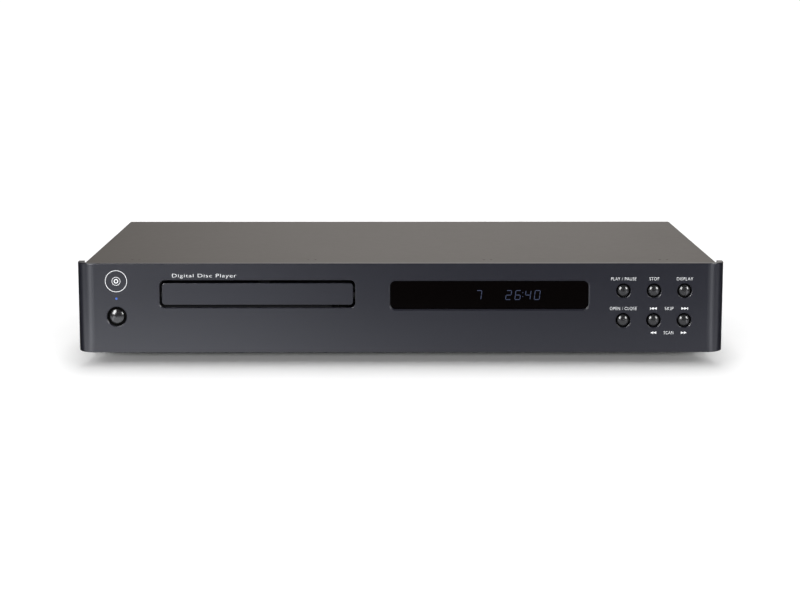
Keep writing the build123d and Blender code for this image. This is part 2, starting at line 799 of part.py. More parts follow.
with BuildPart() as loader_frame:
    for side in (-1, 1):
        inner, outer = sorted((side * loader_inner, side * loader_outer))
        loader_block((inner, loader_front, loader_bottom), (outer, loader_rear_v, loader_top))
        near, far = sorted((side * (loader_inner - lip_reach), side * loader_inner))
        loader_block((near, loader_front, ledge_bottom), (far, loader_rear_v, ledge_bottom + 2.5))
        loader_block((near, loader_front, lip_bottom), (far, loader_rear_v, lip_bottom + 2.0))
    loader_block((-loader_inner, loader_front, deck_bottom), (loader_inner, loader_rear_v, deck_top))
    loader_block((-loader_inner, loader_front, deck_bottom), (drive_u + 5, loader_front + apron, apron_top))
    loader_block(
        (-loader_inner, loader_rear_v - 3, loader_bottom),
        (loader_inner, loader_rear_v, tray_bottom + flange_height),
    )
    loader_block(
        (cam_left - 1, cam_v - cam_guide, deck_bottom),
        (cam_right + cam_travel + 1, cam_v + cam_thickness + cam_guide, deck_top),
        Mode.SUBTRACT,
    )
    loader_block((-well_half, cam_v, deck_bottom), (well_half, well_rear, deck_top), Mode.SUBTRACT)
    for side in (-1, 1):
        low, high = sorted((side * well_half, side * (well_half + bearing_length)))
        loader_block((low, hinge_v - bearing_half, deck_bottom), (high, hinge_v + bearing_half, hinge_z + 4))
        near, far = sorted((side * loader_outer, side * (loader_outer + ear_reach)))
        for v in (loader_front + mount_inset, loader_rear_v - mount_inset):
            loader_block((near, v - 6, loader_bottom), (far, v + 6, loader_bottom + ear_thickness))
        near, far = sorted((side * loader_outer, side * (loader_outer + bridge_ear)))
        for v in bridge_screw_v:
            loader_block((near, v - 3, loader_top - 8), (far, v + 3, loader_top))
    bore_across(
        [(slot_x, front_y + hinge_v, hinge_z)], hinge_pin + hinge_clearance, 2 * (well_half + bearing_length)
    )
    with BuildSketch(loader_plane(loader_bottom)):
        with Locations([(x - slot_x, y - front_y) for x, y in mount_places]):
            Circle(damper_neck + 0.1)
    extrude(amount=ear_thickness, mode=Mode.SUBTRACT)
    with BuildSketch(loader_plane(loader_top - 7)):
        with Locations(bridge_screws):
            Circle(screw_bore)
    extrude(amount=7, mode=Mode.SUBTRACT)
    with BuildSketch(loader_plane(deck_top)):
        with Locations((drive_u, drive_v), (pulley_u, drive_v)):
            Circle(gear_post)
    extrude(amount=post_height)
    with BuildSketch(loader_plane(deck_bottom)):
        with Locations((motor_u, drive_v)):
            Circle(3.0)
    extrude(amount=deck_thickness, mode=Mode.SUBTRACT)
finish(loader_frame, "loader_frame")

with BuildPart() as loader_mounts:
    with BuildSketch(Plane.XY.offset(floor_z)):
        with Locations(mount_places):
            Circle(damper_radius)
    extrude(amount=loader_bottom - floor_z)
    with BuildSketch(Plane.XY.offset(loader_bottom)):
        with Locations(mount_places):
            Circle(damper_neck)
    extrude(amount=ear_thickness)
    with BuildSketch(Plane.XY.offset(loader_bottom + ear_thickness)):
        with Locations(mount_places):
            Circle(damper_radius - 1)
    extrude(amount=damper_flange)
    with BuildSketch(Plane.XY.offset(floor_z)):
        with Locations(mount_places):
            Circle(screw_radius + 0.1)
    extrude(amount=grommet_top - floor_z, mode=Mode.SUBTRACT)
finish(loader_mounts, "loader_mounts")

with BuildPart() as board_posts:
    with BuildSketch(Plane.XY.offset(floor_z)):
        with Locations(post_places):
            RegularPolygon(3.4, 6)
            Circle(screw_radius + 0.1, mode=Mode.SUBTRACT)
    extrude(amount=board_rise)
finish(board_posts, "board_posts")

rack_pitch = math.pi * gear_module
rack_u = drive_u + gear_module * pinion_teeth / 2
rack_lead = math.ceil(tray_travel / rack_pitch) + 1  # whole teeth from the drive gear to the rack's rear end
rack_count = rack_lead + 2
rack_height = 4.0
rack_backing = 2.6
slot_start = 46.0

with BuildPart() as disc_tray:
    loader_block((-tray_half, tray_front_v, tray_bottom), (tray_half, tray_front_v + tray_length, rim_z))
    for side in (-1, 1):
        near, far = sorted((side * tray_half, side * (tray_half + tray_flange)))
        loader_block(
            (near, tray_front_v, tray_bottom), (far, tray_front_v + tray_length, tray_bottom + flange_height)
        )
    with BuildSketch(loader_plane(rim_z)):
        with Locations((0, disc_behind_front)):
            Circle(seat_radius)
    extrude(amount=-seat_depth, mode=Mode.SUBTRACT)
    with BuildSketch(loader_plane(seat_z)):
        with Locations((0, disc_behind_front)):
            Circle(small_seat_radius)
    extrude(amount=-small_seat_depth, mode=Mode.SUBTRACT)
    with BuildSketch(loader_plane(tray_bottom)) as pickup_slot:
        with Locations((0, slot_start)):
            Rectangle(2 * slot_half, tray_length, align=(Align.CENTER, Align.MIN))
        fillet(pickup_slot.vertices().group_by(Axis.Y)[0], 10)
    extrude(amount=rim_z - tray_bottom, mode=Mode.SUBTRACT)
    with BuildSketch(loader_plane(tray_bottom - rack_height)):
        with Locations(Location((rack_u, drive_v + rack_lead * rack_pitch, 0), 180)):
            add(rack_face(rack_count, gear_module, rack_backing))
    extrude(amount=rack_height)
finish(disc_tray, "disc_tray")

with BuildPart() as tray_door:
    with BuildSketch(facing_front(door_recess)):
        with Locations((slot_x, door_z)):
            RectangleRounded(door_width, door_height, door_corner)
    extrude(amount=-door_thickness)
    fillet(tray_door.faces().sort_by(Axis.Y)[0].edges(), 0.5)
finish(tray_door, "tray_door")

clamp_hole = 13.0
clamp_fit = 0.1
clamp_flange_radius = 15.5
clamp_bottom = disc_plane + 1.3
clamp_seat = loader_top + bridge_sheet + 0.05
clamp_flange = 1.7
magnet_radius = 7.0
magnet_height = 2.6
rib_half = 20.0

with BuildPart() as clamp_bridge:
    loader_block(
        (-loader_outer - bridge_ear, bridge_front, loader_top),
        (loader_outer + bridge_ear, bridge_rear, loader_top + bridge_sheet),
    )
    fillet(clamp_bridge.edges().filter_by(Axis.Z), 3)
    with BuildSketch(loader_plane(loader_top)):
        with Locations((0, disc_behind_front)):
            Circle(clamp_hole)
        with Locations(bridge_screws):
            Circle(screw_radius + 0.2)
    extrude(amount=bridge_sheet, mode=Mode.SUBTRACT)
    for u in (-45.0, 45.0):
        for v in (bridge_front + 6, bridge_rear - 8):
            loader_block(
                (u - rib_half, v, loader_top + bridge_sheet),
                (u + rib_half, v + 2, loader_top + 2 * bridge_sheet),
            )
finish(clamp_bridge, "clamp_bridge")

with BuildPart() as clamp_disc:
    with BuildSketch(loader_plane(clamp_bottom)):
        with Locations((0, disc_behind_front)):
            Circle(clamp_hole - clamp_fit)
    extrude(amount=clamp_seat - clamp_bottom)
    with BuildSketch(loader_plane(clamp_seat)):
        with Locations((0, disc_behind_front)):
            Circle(clamp_flange_radius)
    extrude(amount=clamp_flange)
    with BuildSketch(loader_plane(clamp_bottom)):
        with Locations((0, disc_behind_front)):
            Circle(hub_radius + 1)
    extrude(amount=1.5, mode=Mode.SUBTRACT)
    with BuildSketch(loader_plane(clamp_seat + clamp_flange)):
        with Locations((0, disc_behind_front)):
            Circle(magnet_radius)
    extrude(amount=-3.0, mode=Mode.SUBTRACT)
finish(clamp_disc, "clamp_disc")

with BuildPart() as clamp_magnet:
    with BuildSketch(loader_plane(clamp_seat + clamp_flange - 3.0)):
        with Locations((0, disc_behind_front)):
            Circle(magnet_radius - 0.03)
            Circle(2.0, mode=Mode.SUBTRACT)
    extrude(amount=magnet_height)
finish(clamp_magnet, "clamp_magnet")


def wheel(u, v, layers, bore=0.0):
    """A moulded wheel at u and v: stacked outlines, each with a bottom and a top, bored for a post."""
    with BuildPart() as turning:
        for outline, low, high in layers:
            with BuildSketch(Plane(origin=(slot_x + u, front_y + v, low), z_dir=(0, 0, 1), x_dir=(1, 0, 0))):
                add(outline)
            extrude(amount=high - low)
        if bore:
            with Locations((slot_x + u, front_y + v, turning.part.center().Z)):
                Cylinder(bore, 2 * top_z, mode=Mode.SUBTRACT)
    return turning


def disc_face(radius):
    """A round outline about the origin."""
    with BuildSketch() as outline:
        Circle(radius)
    return outline.sketch


wheel_low, wheel_high = deck_top + 3.0, deck_top + 6.0
pinion_high = tray_bottom - 0.5
belt_low = deck_top + 1.0
belt_high = belt_low + belt_section
pulley_cheek = 0.45
belt_fit = 0.02
shaft_radius = 1.0
motor_top = deck_bottom - 0.05

drive_gear = wheel(
    drive_u,
    drive_v,
    [
        (disc_face(4.0), deck_top + 0.2, wheel_low),
        (gear_face(wheel_teeth, gear_module), wheel_low, wheel_high),
        (gear_face(pinion_teeth, gear_module), wheel_high, pinion_high),
    ],
    gear_post + post_fit,
)
finish(drive_gear, "drive_gear")

pulley_gear = wheel(
    pulley_u,
    drive_v,
    [
        (disc_face(big_pulley_groove + belt_section), belt_low - pulley_cheek, belt_low - 0.05),
        (disc_face(big_pulley_groove - belt_fit), belt_low - 0.05, belt_high + 0.05),
        (disc_face(big_pulley_groove + belt_section), belt_high + 0.05, belt_high + pulley_cheek),
        (
            gear_face(pulley_teeth, gear_module, 180 / pulley_teeth),
            belt_high + pulley_cheek,
            wheel_high + 0.2,
        ),
    ],
    gear_post + post_fit,
)
finish(pulley_gear, "pulley_gear")

motor_pulley = wheel(
    motor_u,
    drive_v,
    [
        (disc_face(shaft_radius), motor_top - 4, belt_low - pulley_cheek),
        (disc_face(motor_pulley_groove + belt_section), belt_low - pulley_cheek, belt_low - 0.05),
        (disc_face(motor_pulley_groove - belt_fit), belt_low - 0.05, belt_high + 0.05),
        (disc_face(motor_pulley_groove + belt_section), belt_high + 0.05, belt_high + pulley_cheek),
    ],
)
finish(motor_pulley, "motor_pulley")


def belt_outline(extra):
    """The closed run around both pulleys, standing off their grooves by extra."""
    with BuildSketch() as outline:
        with Locations((pulley_u, drive_v)):
            Circle(big_pulley_groove + extra)
        with Locations((motor_u, drive_v)):
            Circle(motor_pulley_groove + extra)
        make_hull()
    return outline.sketch


with BuildPart() as drive_belt:
    with BuildSketch(loader_plane(belt_low)):
        add(belt_outline(belt_section))
        add(belt_outline(0), mode=Mode.SUBTRACT)
    extrude(amount=belt_section)
finish(drive_belt, "drive_belt")

with BuildPart() as tray_motor:
    with BuildSketch(loader_plane(motor_top)):
        with Locations((motor_u, drive_v)):
            Circle(motor_radius)
    extrude(amount=-motor_height)
    fillet(tray_motor.edges().filter_by(GeomType.CIRCLE), 0.8)
    with BuildSketch(loader_plane(motor_top)):
        with Locations((motor_u, drive_v)):
            Circle(shaft_radius + post_fit)
    extrude(amount=-5, mode=Mode.SUBTRACT)
finish(tray_motor, "tray_motor")

# ---------------------------------------------------------------- pickup unit
plate_top = chassis_rise + chassis_plate
pin_v = cam_v + cam_thickness / 2
pin_z = plate_top - cam_pin + 0.25
pin_drop = (hinge_v - pin_v) * math.sin(math.radians(lift_angle))
cam_clearance = 0.25

ramp_length = math.hypot(cam_travel, pin_drop)
ramp_angle = math.degrees(math.atan2(pin_drop, cam_travel))
ramps = [(slot_x + u - cam_travel / 2, pin_z - pin_drop / 2) for u in (-cam_pin_u, cam_pin_u)]

with BuildPart() as cam_slider:
    loader_block((cam_left, cam_v, cam_bottom), (cam_right, cam_v + cam_thickness, cam_top))
    loader_block((cam_left, cam_v - 2, deck_top + 0.15), (cam_right, cam_v, deck_top + 2))
    with BuildSketch(facing_front(cam_v - 2)):
        with Locations(ramps):
            SlotCenterToCenter(ramp_length, 2 * (cam_pin + cam_clearance), rotation=ramp_angle)
    extrude(amount=-(cam_thickness + 2), mode=Mode.SUBTRACT)
finish(cam_slider, "cam_slider")

rod_front, rod_rear = 84.0, 157.0
rod_post = 4.0
rod_places = [(slot_x + side * rod_u, front_y + (rod_front + rod_rear) / 2, rod_z) for side in (-1, 1)]
hinge_wall = 1.5
sled_front = disc_behind_front + sled_first - 9.0
sled_rear = sled_front + 18.0
sled_bottom, sled_top = plate_top + 1.0, plate_top + 8.0
sled_half = 25.0
sled_gear_u = sled_rack_u + sled_module * sled_pinion_teeth / 2
sled_motor_v = sled_gear_v + sled_module * (sled_wheel_teeth + sled_motor_teeth) / 2
spindle_radius = 1.5
spindle_low = 27.0
spindle_motor_radius = 12.0
spindle_motor_bottom = 22.0
sled_motor_radius = 9.0

with BuildPart() as pickup_chassis:
    loader_block((-chassis_half, chassis_front, chassis_rise), (chassis_half, hinge_v + 2, plate_top))
    fillet(pickup_chassis.edges().filter_by(Axis.Z), 3)
    with BuildSketch(loader_plane(chassis_rise)):
        with Locations((0, (rod_front + rod_rear) / 2)):
            Rectangle(2 * (rod_u - rod_post), rod_rear - rod_front - 8)
        with Locations((0, disc_behind_front)):
            Circle(5.0)
        with Locations((sled_gear_u, sled_motor_v)):
            Circle(2.5)
    extrude(amount=chassis_plate, mode=Mode.SUBTRACT)
    for side in (-1, 1):
        for v in (rod_front - rod_post, rod_rear - rod_post):
            loader_block(
                (side * rod_u - 3, v, plate_top),
                (side * rod_u + 3, v + 2 * rod_post, rod_z + rod_radius + 1.5),
            )
        low, high = sorted((side * (chassis_half - 5), side * chassis_half))
        loader_block(
            (low, hinge_v - hinge_pin - hinge_wall, chassis_rise),
            (high, hinge_v + hinge_pin + hinge_wall, hinge_z + hinge_pin + 1.2),
        )
        pivot = (slot_x + side * (chassis_half + 3.25), front_y + hinge_v, hinge_z)
        with Locations(Location(pivot, (0, 90, 0))):
            Cylinder(hinge_pin, 7.0)
        follower = (slot_x + side * cam_pin_u, front_y + (cam_v + chassis_front) / 2 + 0.4, pin_z)
        with Locations(Location(follower, (90, 0, 0))):
            Cylinder(cam_pin, chassis_front - cam_v - 0.2)
    bore_along(rod_places, rod_radius + 0.02, rod_rear - rod_front)
    with BuildSketch(loader_plane(plate_top)):
        with Locations((sled_gear_u, sled_gear_v)):
            Circle(spindle_radius)
    extrude(amount=7.0)
finish(pickup_chassis, "pickup_chassis")

with BuildPart() as guide_rods:
    with Locations([Location(place, (90, 0, 0)) for place in rod_places]):
        Cylinder(rod_radius, rod_rear - rod_front)
finish(guide_rods, "guide_rods")

with BuildPart() as spindle_motor:
    with BuildSketch(loader_plane(chassis_rise)):
        with Locations((0, disc_behind_front)):
            Circle(spindle_motor_radius)
    extrude(amount=spindle_motor_bottom - chassis_rise)
    with BuildSketch(loader_plane(chassis_rise)):
        with Locations((0, disc_behind_front)):
            Circle(spindle_radius + post_fit)
    extrude(amount=spindle_low - 1 - chassis_rise, mode=Mode.SUBTRACT)
finish(spindle_motor, "spindle_motor")

turntable_sheet = 2.6
turntable = wheel(
    0,
    disc_behind_front,
    [
        (disc_face(spindle_radius), spindle_low, plate_top + 1),
        (disc_face(4.0), plate_top + 1, disc_plane - turntable_sheet),
        (disc_face(turntable_radius), disc_plane - turntable_sheet, disc_plane),
        (disc_face(hub_radius), disc_plane, disc_plane + 1.3),
        (disc_face(hub_radius - 1.5), disc_plane + 1.3, disc_plane + 2.0),
    ],
)
finish(turntable, "turntable")

sled_rack_pitch = math.pi * sled_module
sled_rack_low, sled_rack_high = sled_bottom + 1.5, sled_top
sled_rack_backing = 2.6
sled_rack_lead = math.ceil(sled_travel / sled_rack_pitch) + 2
with BuildPart() as pickup_sled:
    loader_block((-sled_half, sled_front, sled_bottom), (sled_half, sled_rear, sled_top))
    fillet(pickup_sled.edges().filter_by(Axis.Z), 2)
    with BuildSketch(loader_plane(sled_rack_low)):
        with Locations((sled_rack_u, sled_gear_v - sled_rack_lead * sled_rack_pitch)):
            add(rack_face(sled_rack_lead + 3, sled_module, sled_rack_backing))
    extrude(amount=sled_rack_high - sled_rack_low)
    loader_block(
        (sled_half - 3, sled_front + 2, sled_rack_low),
        (sled_rack_u - 1.1 * sled_module - sled_rack_backing / 2, sled_rear - 2, sled_rack_high),
    )
    loader_block((-12, sled_front + 3, sled_bottom - 3), (12, sled_rear - 3, sled_bottom))
    bore_along(rod_places, rod_radius + 0.06, 2 * (rod_rear - rod_front))
finish(pickup_sled, "pickup_sled")

lens_v = disc_behind_front + sled_first
lens_top = disc_plane - 2.0
with BuildPart() as lens_holder:
    loader_block((-7, lens_v - 5, sled_top + 1), (7, lens_v + 5, lens_top - 1.2))
    fillet(lens_holder.edges().filter_by(Axis.Z), 2)
    with BuildSketch(loader_plane(lens_top - 1.2)):
        with Locations((0, lens_v)):
            Circle(lens_radius + 1)
            Circle(lens_radius, mode=Mode.SUBTRACT)
    extrude(amount=1.2)
    with Locations((slot_x, front_y + lens_v, lens_top - 1.6)):
        Sphere(1.5)
finish(lens_holder, "lens_holder")

sled_wheel_low = plate_top + 0.3
sled_gear = wheel(
    sled_gear_u,
    sled_gear_v,
    [
        (gear_face(sled_wheel_teeth, sled_module), sled_wheel_low, sled_rack_low - 0.4),
        (gear_face(sled_pinion_teeth, sled_module), sled_rack_low - 0.4, sled_top),
    ],
    spindle_radius + post_fit,
)
finish(sled_gear, "sled_gear")

sled_motor_gear = wheel(
    sled_gear_u,
    sled_motor_v,
    [
        (disc_face(shaft_radius), chassis_rise - 4, sled_wheel_low),
        (gear_face(sled_motor_teeth, sled_module), sled_wheel_low, sled_rack_low - 0.4),
    ],
)
finish(sled_motor_gear, "sled_motor_gear")

with BuildPart() as sled_motor:
    with BuildSketch(loader_plane(chassis_rise)):
        with Locations((sled_gear_u, sled_motor_v)):
            Circle(sled_motor_radius)
    extrude(amount=-11)
    with BuildSketch(loader_plane(chassis_rise)):
        with Locations((sled_gear_u, sled_motor_v)):
            Circle(shaft_radius + post_fit)
    extrude(amount=-5, mode=Mode.SUBTRACT)
finish(sled_motor, "sled_motor")

# ================================================================ electronics
def board(centre_x, centre_y, length, depth, posts):
    """A circuit board on its posts, with a hole over each."""
    with BuildPart() as plate:
        with BuildSketch(Plane.XY.offset(board_z)):
            with Locations((centre_x, centre_y)):
                Rectangle(length, depth)
            with Locations(posts):
                Circle(screw_radius + 0.2, mode=Mode.SUBTRACT)
        extrude(amount=board_sheet)
    return plate


main_board = board(main_board_x, main_board_y, main_board_width, main_board_depth, main_posts)
finish(main_board, "main_board")

power_board = board(power_board_x, power_board_y, power_board_width, power_board_depth, power_posts)
finish(power_board, "power_board")

main_board_front = main_board_y - main_board_depth / 2
chip_height = 1.4
crystal_size = (11.0, 6.0, 3.5)
socket_front = main_board_front + 4.0
socket_size = 5.0
chips = ((-41.0, -32.0, 14.0), (-41.0, 3.0, 20.0), (9.0, -22.0, 10.0), (49.0, 18.0, 8.0), (-6.0, 28.0, 8.0))
with BuildPart() as board_chips:
    for x, y, side in chips:
        with Locations((main_board_x + x, main_board_y + y, board_top)):
            Box(side, side, chip_height, align=(Align.CENTER, Align.CENTER, Align.MIN))
    with Locations((main_board_x + 4.5, main_board_y + 31.0, board_top)):
        Box(*crystal_size, align=(Align.CENTER, Align.CENTER, Align.MIN))
    with Locations((cable_x, socket_front, board_top)):
        Box(2 * cable_half + 4, socket_size, socket_size, align=(Align.CENTER, Align.MIN, Align.MIN))
finish(board_chips, "board_chips")

large_can, middle_can, small_can, signal_can = (8.0, 25.0), (5.0, 16.0), (5.0, 12.0), (3.5, 9.0)
cans = [(power_board_x - 45.0, power_board_y + y, large_can) for y in (-25.0, -5.0)]
cans += [(power_board_x - 45.0, power_board_y + 15.0, middle_can)]
cans += [(main_board_x + x, main_board_y - 22.0, small_can) for x in (-71.0, 39.0, 59.0)]
cans += [(main_board_x + x, main_board_y - 2.0, signal_can) for x in (39.0, 59.0)]
with BuildPart() as capacitors:
    for x, y, (radius, height) in cans:
        with Locations((x, y, board_top)):
            Cylinder(radius, height, align=(Align.CENTER, Align.CENTER, Align.MIN))
    fillet(capacitors.faces().group_by(Axis.Z)[0].edges(), 0.6)
finish(capacitors, "capacitors")

winding_size = (48.0, 20.0, 40.0)
core_size = (28.0, 40.0, 28.0)
with BuildPart() as transformer:
    with Locations((power_board_x - 1.0, power_board_y - 1.0, board_top)):
        Box(*winding_size, align=(Align.CENTER, Align.CENTER, Align.MIN))
        Box(*core_size, align=(Align.CENTER, Align.CENTER, Align.MIN))
    fillet(transformer.edges().filter_by(Axis.Z), 1.5)
finish(transformer, "transformer")

fin_count = 6
fin_pitch = 9.0
fin_size = (11.0, 1.5, 30.0)
fin_back = 3.0
with BuildPart() as heat_sink:
    with Locations((power_board_x + 41.0, power_board_y, board_top)):
        Box(fin_back, 50.0, fin_size[2], align=(Align.MIN, Align.CENTER, Align.MIN))
        with GridLocations(1, fin_pitch, 1, fin_count):
            Box(*fin_size, align=(Align.MIN, Align.CENTER, Align.MIN))
finish(heat_sink, "heat_sink")

jack_places = [(x, jack_z) for x in (*line_out_x, coax_x)]
jack_half = 7.0
jack_body = 16.0
shell_root = jack_radius - 0.2  # the barrel's part inside the collar is thinner
shell_gap = 0.1  # collar to the barrel's full size
shell_depth = 8.0
contact_depth = 12.0
core_radius = jack_radius - jack_wall - 0.02
with BuildPart() as jack_block:
    for x, z in jack_places:
        block((x - jack_half, pan_rear - jack_body, board_top), (x + jack_half, pan_rear, z + jack_half))
    with BuildSketch(facing_front(body_depth - 2 * sheet)):
        with Locations(jack_places):
            Circle(jack_radius + jack_collar)
    extrude(amount=-(2 * sheet + collar_proud))
    with BuildSketch(facing_front(body_depth + collar_proud)):
        with Locations(jack_places):
            Circle(shell_root + 0.02)
            Circle(core_radius, mode=Mode.SUBTRACT)
    extrude(amount=shell_depth + 1, mode=Mode.SUBTRACT)
    with BuildSketch(facing_front(body_depth)):
        with Locations(jack_places):
            Circle(core_radius)
    extrude(amount=-jack_reach)
    with BuildSketch(facing_front(body_depth + jack_reach)):
        with Locations(jack_places):
            Circle(jack_bore)
    extrude(amount=contact_depth, mode=Mode.SUBTRACT)
finish(jack_block, "jack_block")

with BuildPart() as jack_shells:
    with BuildSketch(facing_front(body_depth + jack_reach)):
        with Locations(jack_places):
            Circle(jack_radius)
    extrude(amount=jack_reach - collar_proud - shell_gap)
    with BuildSketch(facing_front(body_depth + collar_proud + shell_gap)):
        with Locations(jack_places):
            Circle(shell_root)
    extrude(amount=shell_gap + shell_depth)
    with BuildSketch(facing_front(body_depth + jack_reach)):
        with Locations(jack_places):
            Circle(jack_radius - jack_wall)
    extrude(amount=jack_reach + jack_body, mode=Mode.SUBTRACT)
finish(jack_shells, "jack_shells")

optical_half = optical_opening / 2
optical_outer = optical_half + optical_wall
optical_body = 14.0
optical_depth = 11.0
with BuildPart() as optical_jack:
    block(
        (optical_x - optical_outer, rear_y - optical_body, board_top),
        (optical_x + optical_outer, pan_rear, jack_z + optical_outer),
    )
    block(
        (optical_x - optical_outer, pan_rear, jack_z - optical_outer),
        (optical_x + optical_outer, rear_y + collar_proud, jack_z + optical_outer),
    )
    block(
        (optical_x - optical_half, rear_y - optical_depth, jack_z - optical_half),
        (optical_x + optical_half, rear_y + collar_proud, jack_z + optical_half),
        Mode.SUBTRACT,
    )
finish(optical_jack, "optical_jack")

flap_pin = 0.4
flap_thickness = 0.6
flap_v = body_depth + collar_proud - flap_thickness / 2
flap_z = jack_z + optical_half - flap_pin - 0.15
with BuildPart() as optical_flap:
    block(
        (optical_x - optical_half + 0.2, front_y + flap_v - flap_thickness / 2, jack_z - optical_half + 0.3),
        (optical_x + optical_half - 0.2, front_y + flap_v + flap_thickness / 2, flap_z),
    )
    with Locations(Location((optical_x, front_y + flap_v, flap_z), (0, 90, 0))):
        Cylinder(flap_pin, optical_opening - 0.4)
finish(optical_flap, "optical_flap")

socket_width, socket_height, socket_depth = 22.0, 15.0, 17.0
pin_pitch = 7.0
pin_size = (2.0, 4.0)
pin_reach = 12.0
with BuildPart() as mains_inlet:
    with BuildSketch(facing_front(rear_v + inlet_face)):
        with Locations((inlet_x, rear_part_z)):
            RectangleRounded(inlet_width + 2 * inlet_flange, inlet_height + 2 * inlet_flange, 3.0)
    extrude(amount=inlet_face)
    with BuildSketch(facing_front(rear_v)):
        with Locations((inlet_x, rear_part_z)):
            RectangleRounded(inlet_width, inlet_height, 2.8)
    extrude(amount=inlet_depth)
    with BuildSketch(facing_front(rear_v + inlet_face)) as socket:
        with Locations((inlet_x, rear_part_z)):
            Rectangle(socket_width, socket_height)
        chamfer(socket.vertices().group_by(Axis.Y)[-1], 3.0)
    extrude(amount=socket_depth, mode=Mode.SUBTRACT)
    with BuildSketch(facing_front(rear_v + inlet_face - socket_depth)):
        with Locations([(inlet_x + k * pin_pitch, rear_part_z + 2 - 4 * abs(k)) for k in (-1, 0, 1)]):
            Rectangle(*pin_size)
    extrude(amount=-pin_reach)
finish(mains_inlet, "mains_inlet")

rocker_pin = 1.5
rocker_v = rear_v - 1.5
rocker_side_gap = 0.25
rocker_end_gap = 0.5
rocker_well = 10.0
with BuildPart() as power_switch:
    with BuildSketch(facing_front(rear_v + switch_bezel)):
        with Locations((switch_x, rear_part_z)):
            RectangleRounded(2 * switch_half_width + 3, 2 * switch_half_height + 3, 1.0)
    extrude(amount=switch_bezel)
    with BuildSketch(facing_front(rear_v)):
        with Locations((switch_x, rear_part_z)):
            Rectangle(2 * switch_half_width, 2 * switch_half_height)
    extrude(amount=switch_depth)
    with BuildSketch(facing_front(rear_v + switch_bezel)):
        with Locations((switch_x, rear_part_z)):
            Rectangle(2 * (rocker_half_width + rocker_side_gap), 2 * (rocker_half_height + rocker_end_gap))
    extrude(amount=rocker_well, mode=Mode.SUBTRACT)
    with Locations(Location((switch_x, front_y + rocker_v, rear_part_z), (0, 90, 0))):
        Cylinder(rocker_pin, 2 * switch_half_width)
finish(power_switch, "power_switch")

tilt = math.radians(rocker_tilt)
rocker_plane = Plane(
    origin=(switch_x, front_y + rocker_v, rear_part_z),
    x_dir=(0, math.cos(tilt), math.sin(tilt)),
    z_dir=(1, 0, 0),
)
with BuildPart() as power_rocker:
    with BuildSketch(rocker_plane):
        with BuildLine():
            Polyline(
                (-3.0, -3.0),
                (-3.0, 3.0),
                (0.0, rocker_half_height),
                (3.2, rocker_half_height),
                (2.0, 0.0),
                (3.2, -rocker_half_height),
                (0.0, -rocker_half_height),
                close=True,
            )
        make_face()
        Circle(rocker_pin + post_fit, mode=Mode.SUBTRACT)
    extrude(amount=rocker_half_width, both=True)
finish(power_rocker, "power_rocker")

lead_radius = 1.4
switch_lead_radius = 1.0
lead_z = floor_z + 12.0
inlet_rear = front_y + rear_v - inlet_depth
switch_rear = front_y + rear_v - switch_depth


def lead(points, radius):
    """A round wire bent through the points."""
    with BuildLine(mode=Mode.PRIVATE) as path:
        FilletPolyline(*points, radius=2.0)
    with BuildSketch(Plane(origin=path.line @ 0, z_dir=path.line % 0)) as section:
        Circle(radius)
    sweep(sections=section.sketch, path=path.line)


with BuildPart() as mains_leads:
    for k in (0, 1):
        x = inlet_x - 4 + 8 * k
        turn = inlet_rear - 13.5 + 5 * k
        aisle = board_left - 10 - 5 * k
        board_end = power_board_y + power_board_depth / 2 - 8 - 8 * k
        lead(
            [
                (x, inlet_rear, rear_part_z),
                (x, turn, rear_part_z),
                (x, turn, lead_z),
                (aisle, turn, lead_z),
                (aisle, board_end, lead_z),
                (board_left + 8, board_end, lead_z),
                (board_left + 8, board_end, board_top),
            ],
            lead_radius,
        )
    for z in (rear_part_z - 5, rear_part_z + 5):
        lead(
            [
                (switch_x, switch_rear, z),
                (switch_x, inlet_rear - 3.5, z),
                (inlet_x + 10, inlet_rear - 3.5, z),
                (inlet_x + 10, inlet_rear, z),
            ],
            switch_lead_radius,
        )
finish(mains_leads, "mains_leads")

cable_thickness = 0.3
cable_low = floor_z + 3.0
cable_bend = 0.9
with BuildPart() as flat_cable:
    with BuildSketch(Plane(origin=(cable_x, 0, 0), x_dir=(0, 1, 0), z_dir=(1, 0, 0))):
        with BuildLine():
            FilletPolyline(
                (socket_front - cable_thickness / 2, board_top + 2.5),
                (main_board_front - 4, board_top + 2.5),
                (main_board_front - 4, cable_low),
                (front_y + board_rear_v + plug_depth + 2.4, cable_low),
                (front_y + board_rear_v + plug_depth + 2.4, cable_front_z),
                (front_y + board_rear_v + plug_depth + cable_thickness / 2, cable_front_z),
                radius=cable_bend,
            )
            offset(amount=cable_thickness / 2, side=Side.BOTH)
        make_face()
    extrude(amount=cable_half, both=True)
finish(flat_cable, "flat_cable")
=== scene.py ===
# %% [markdown]
# # A slim disc player
# Blender adds what a drawing can't say: paint, moulded texture, printed words, the display's digits, and
# light.

# %%
import math

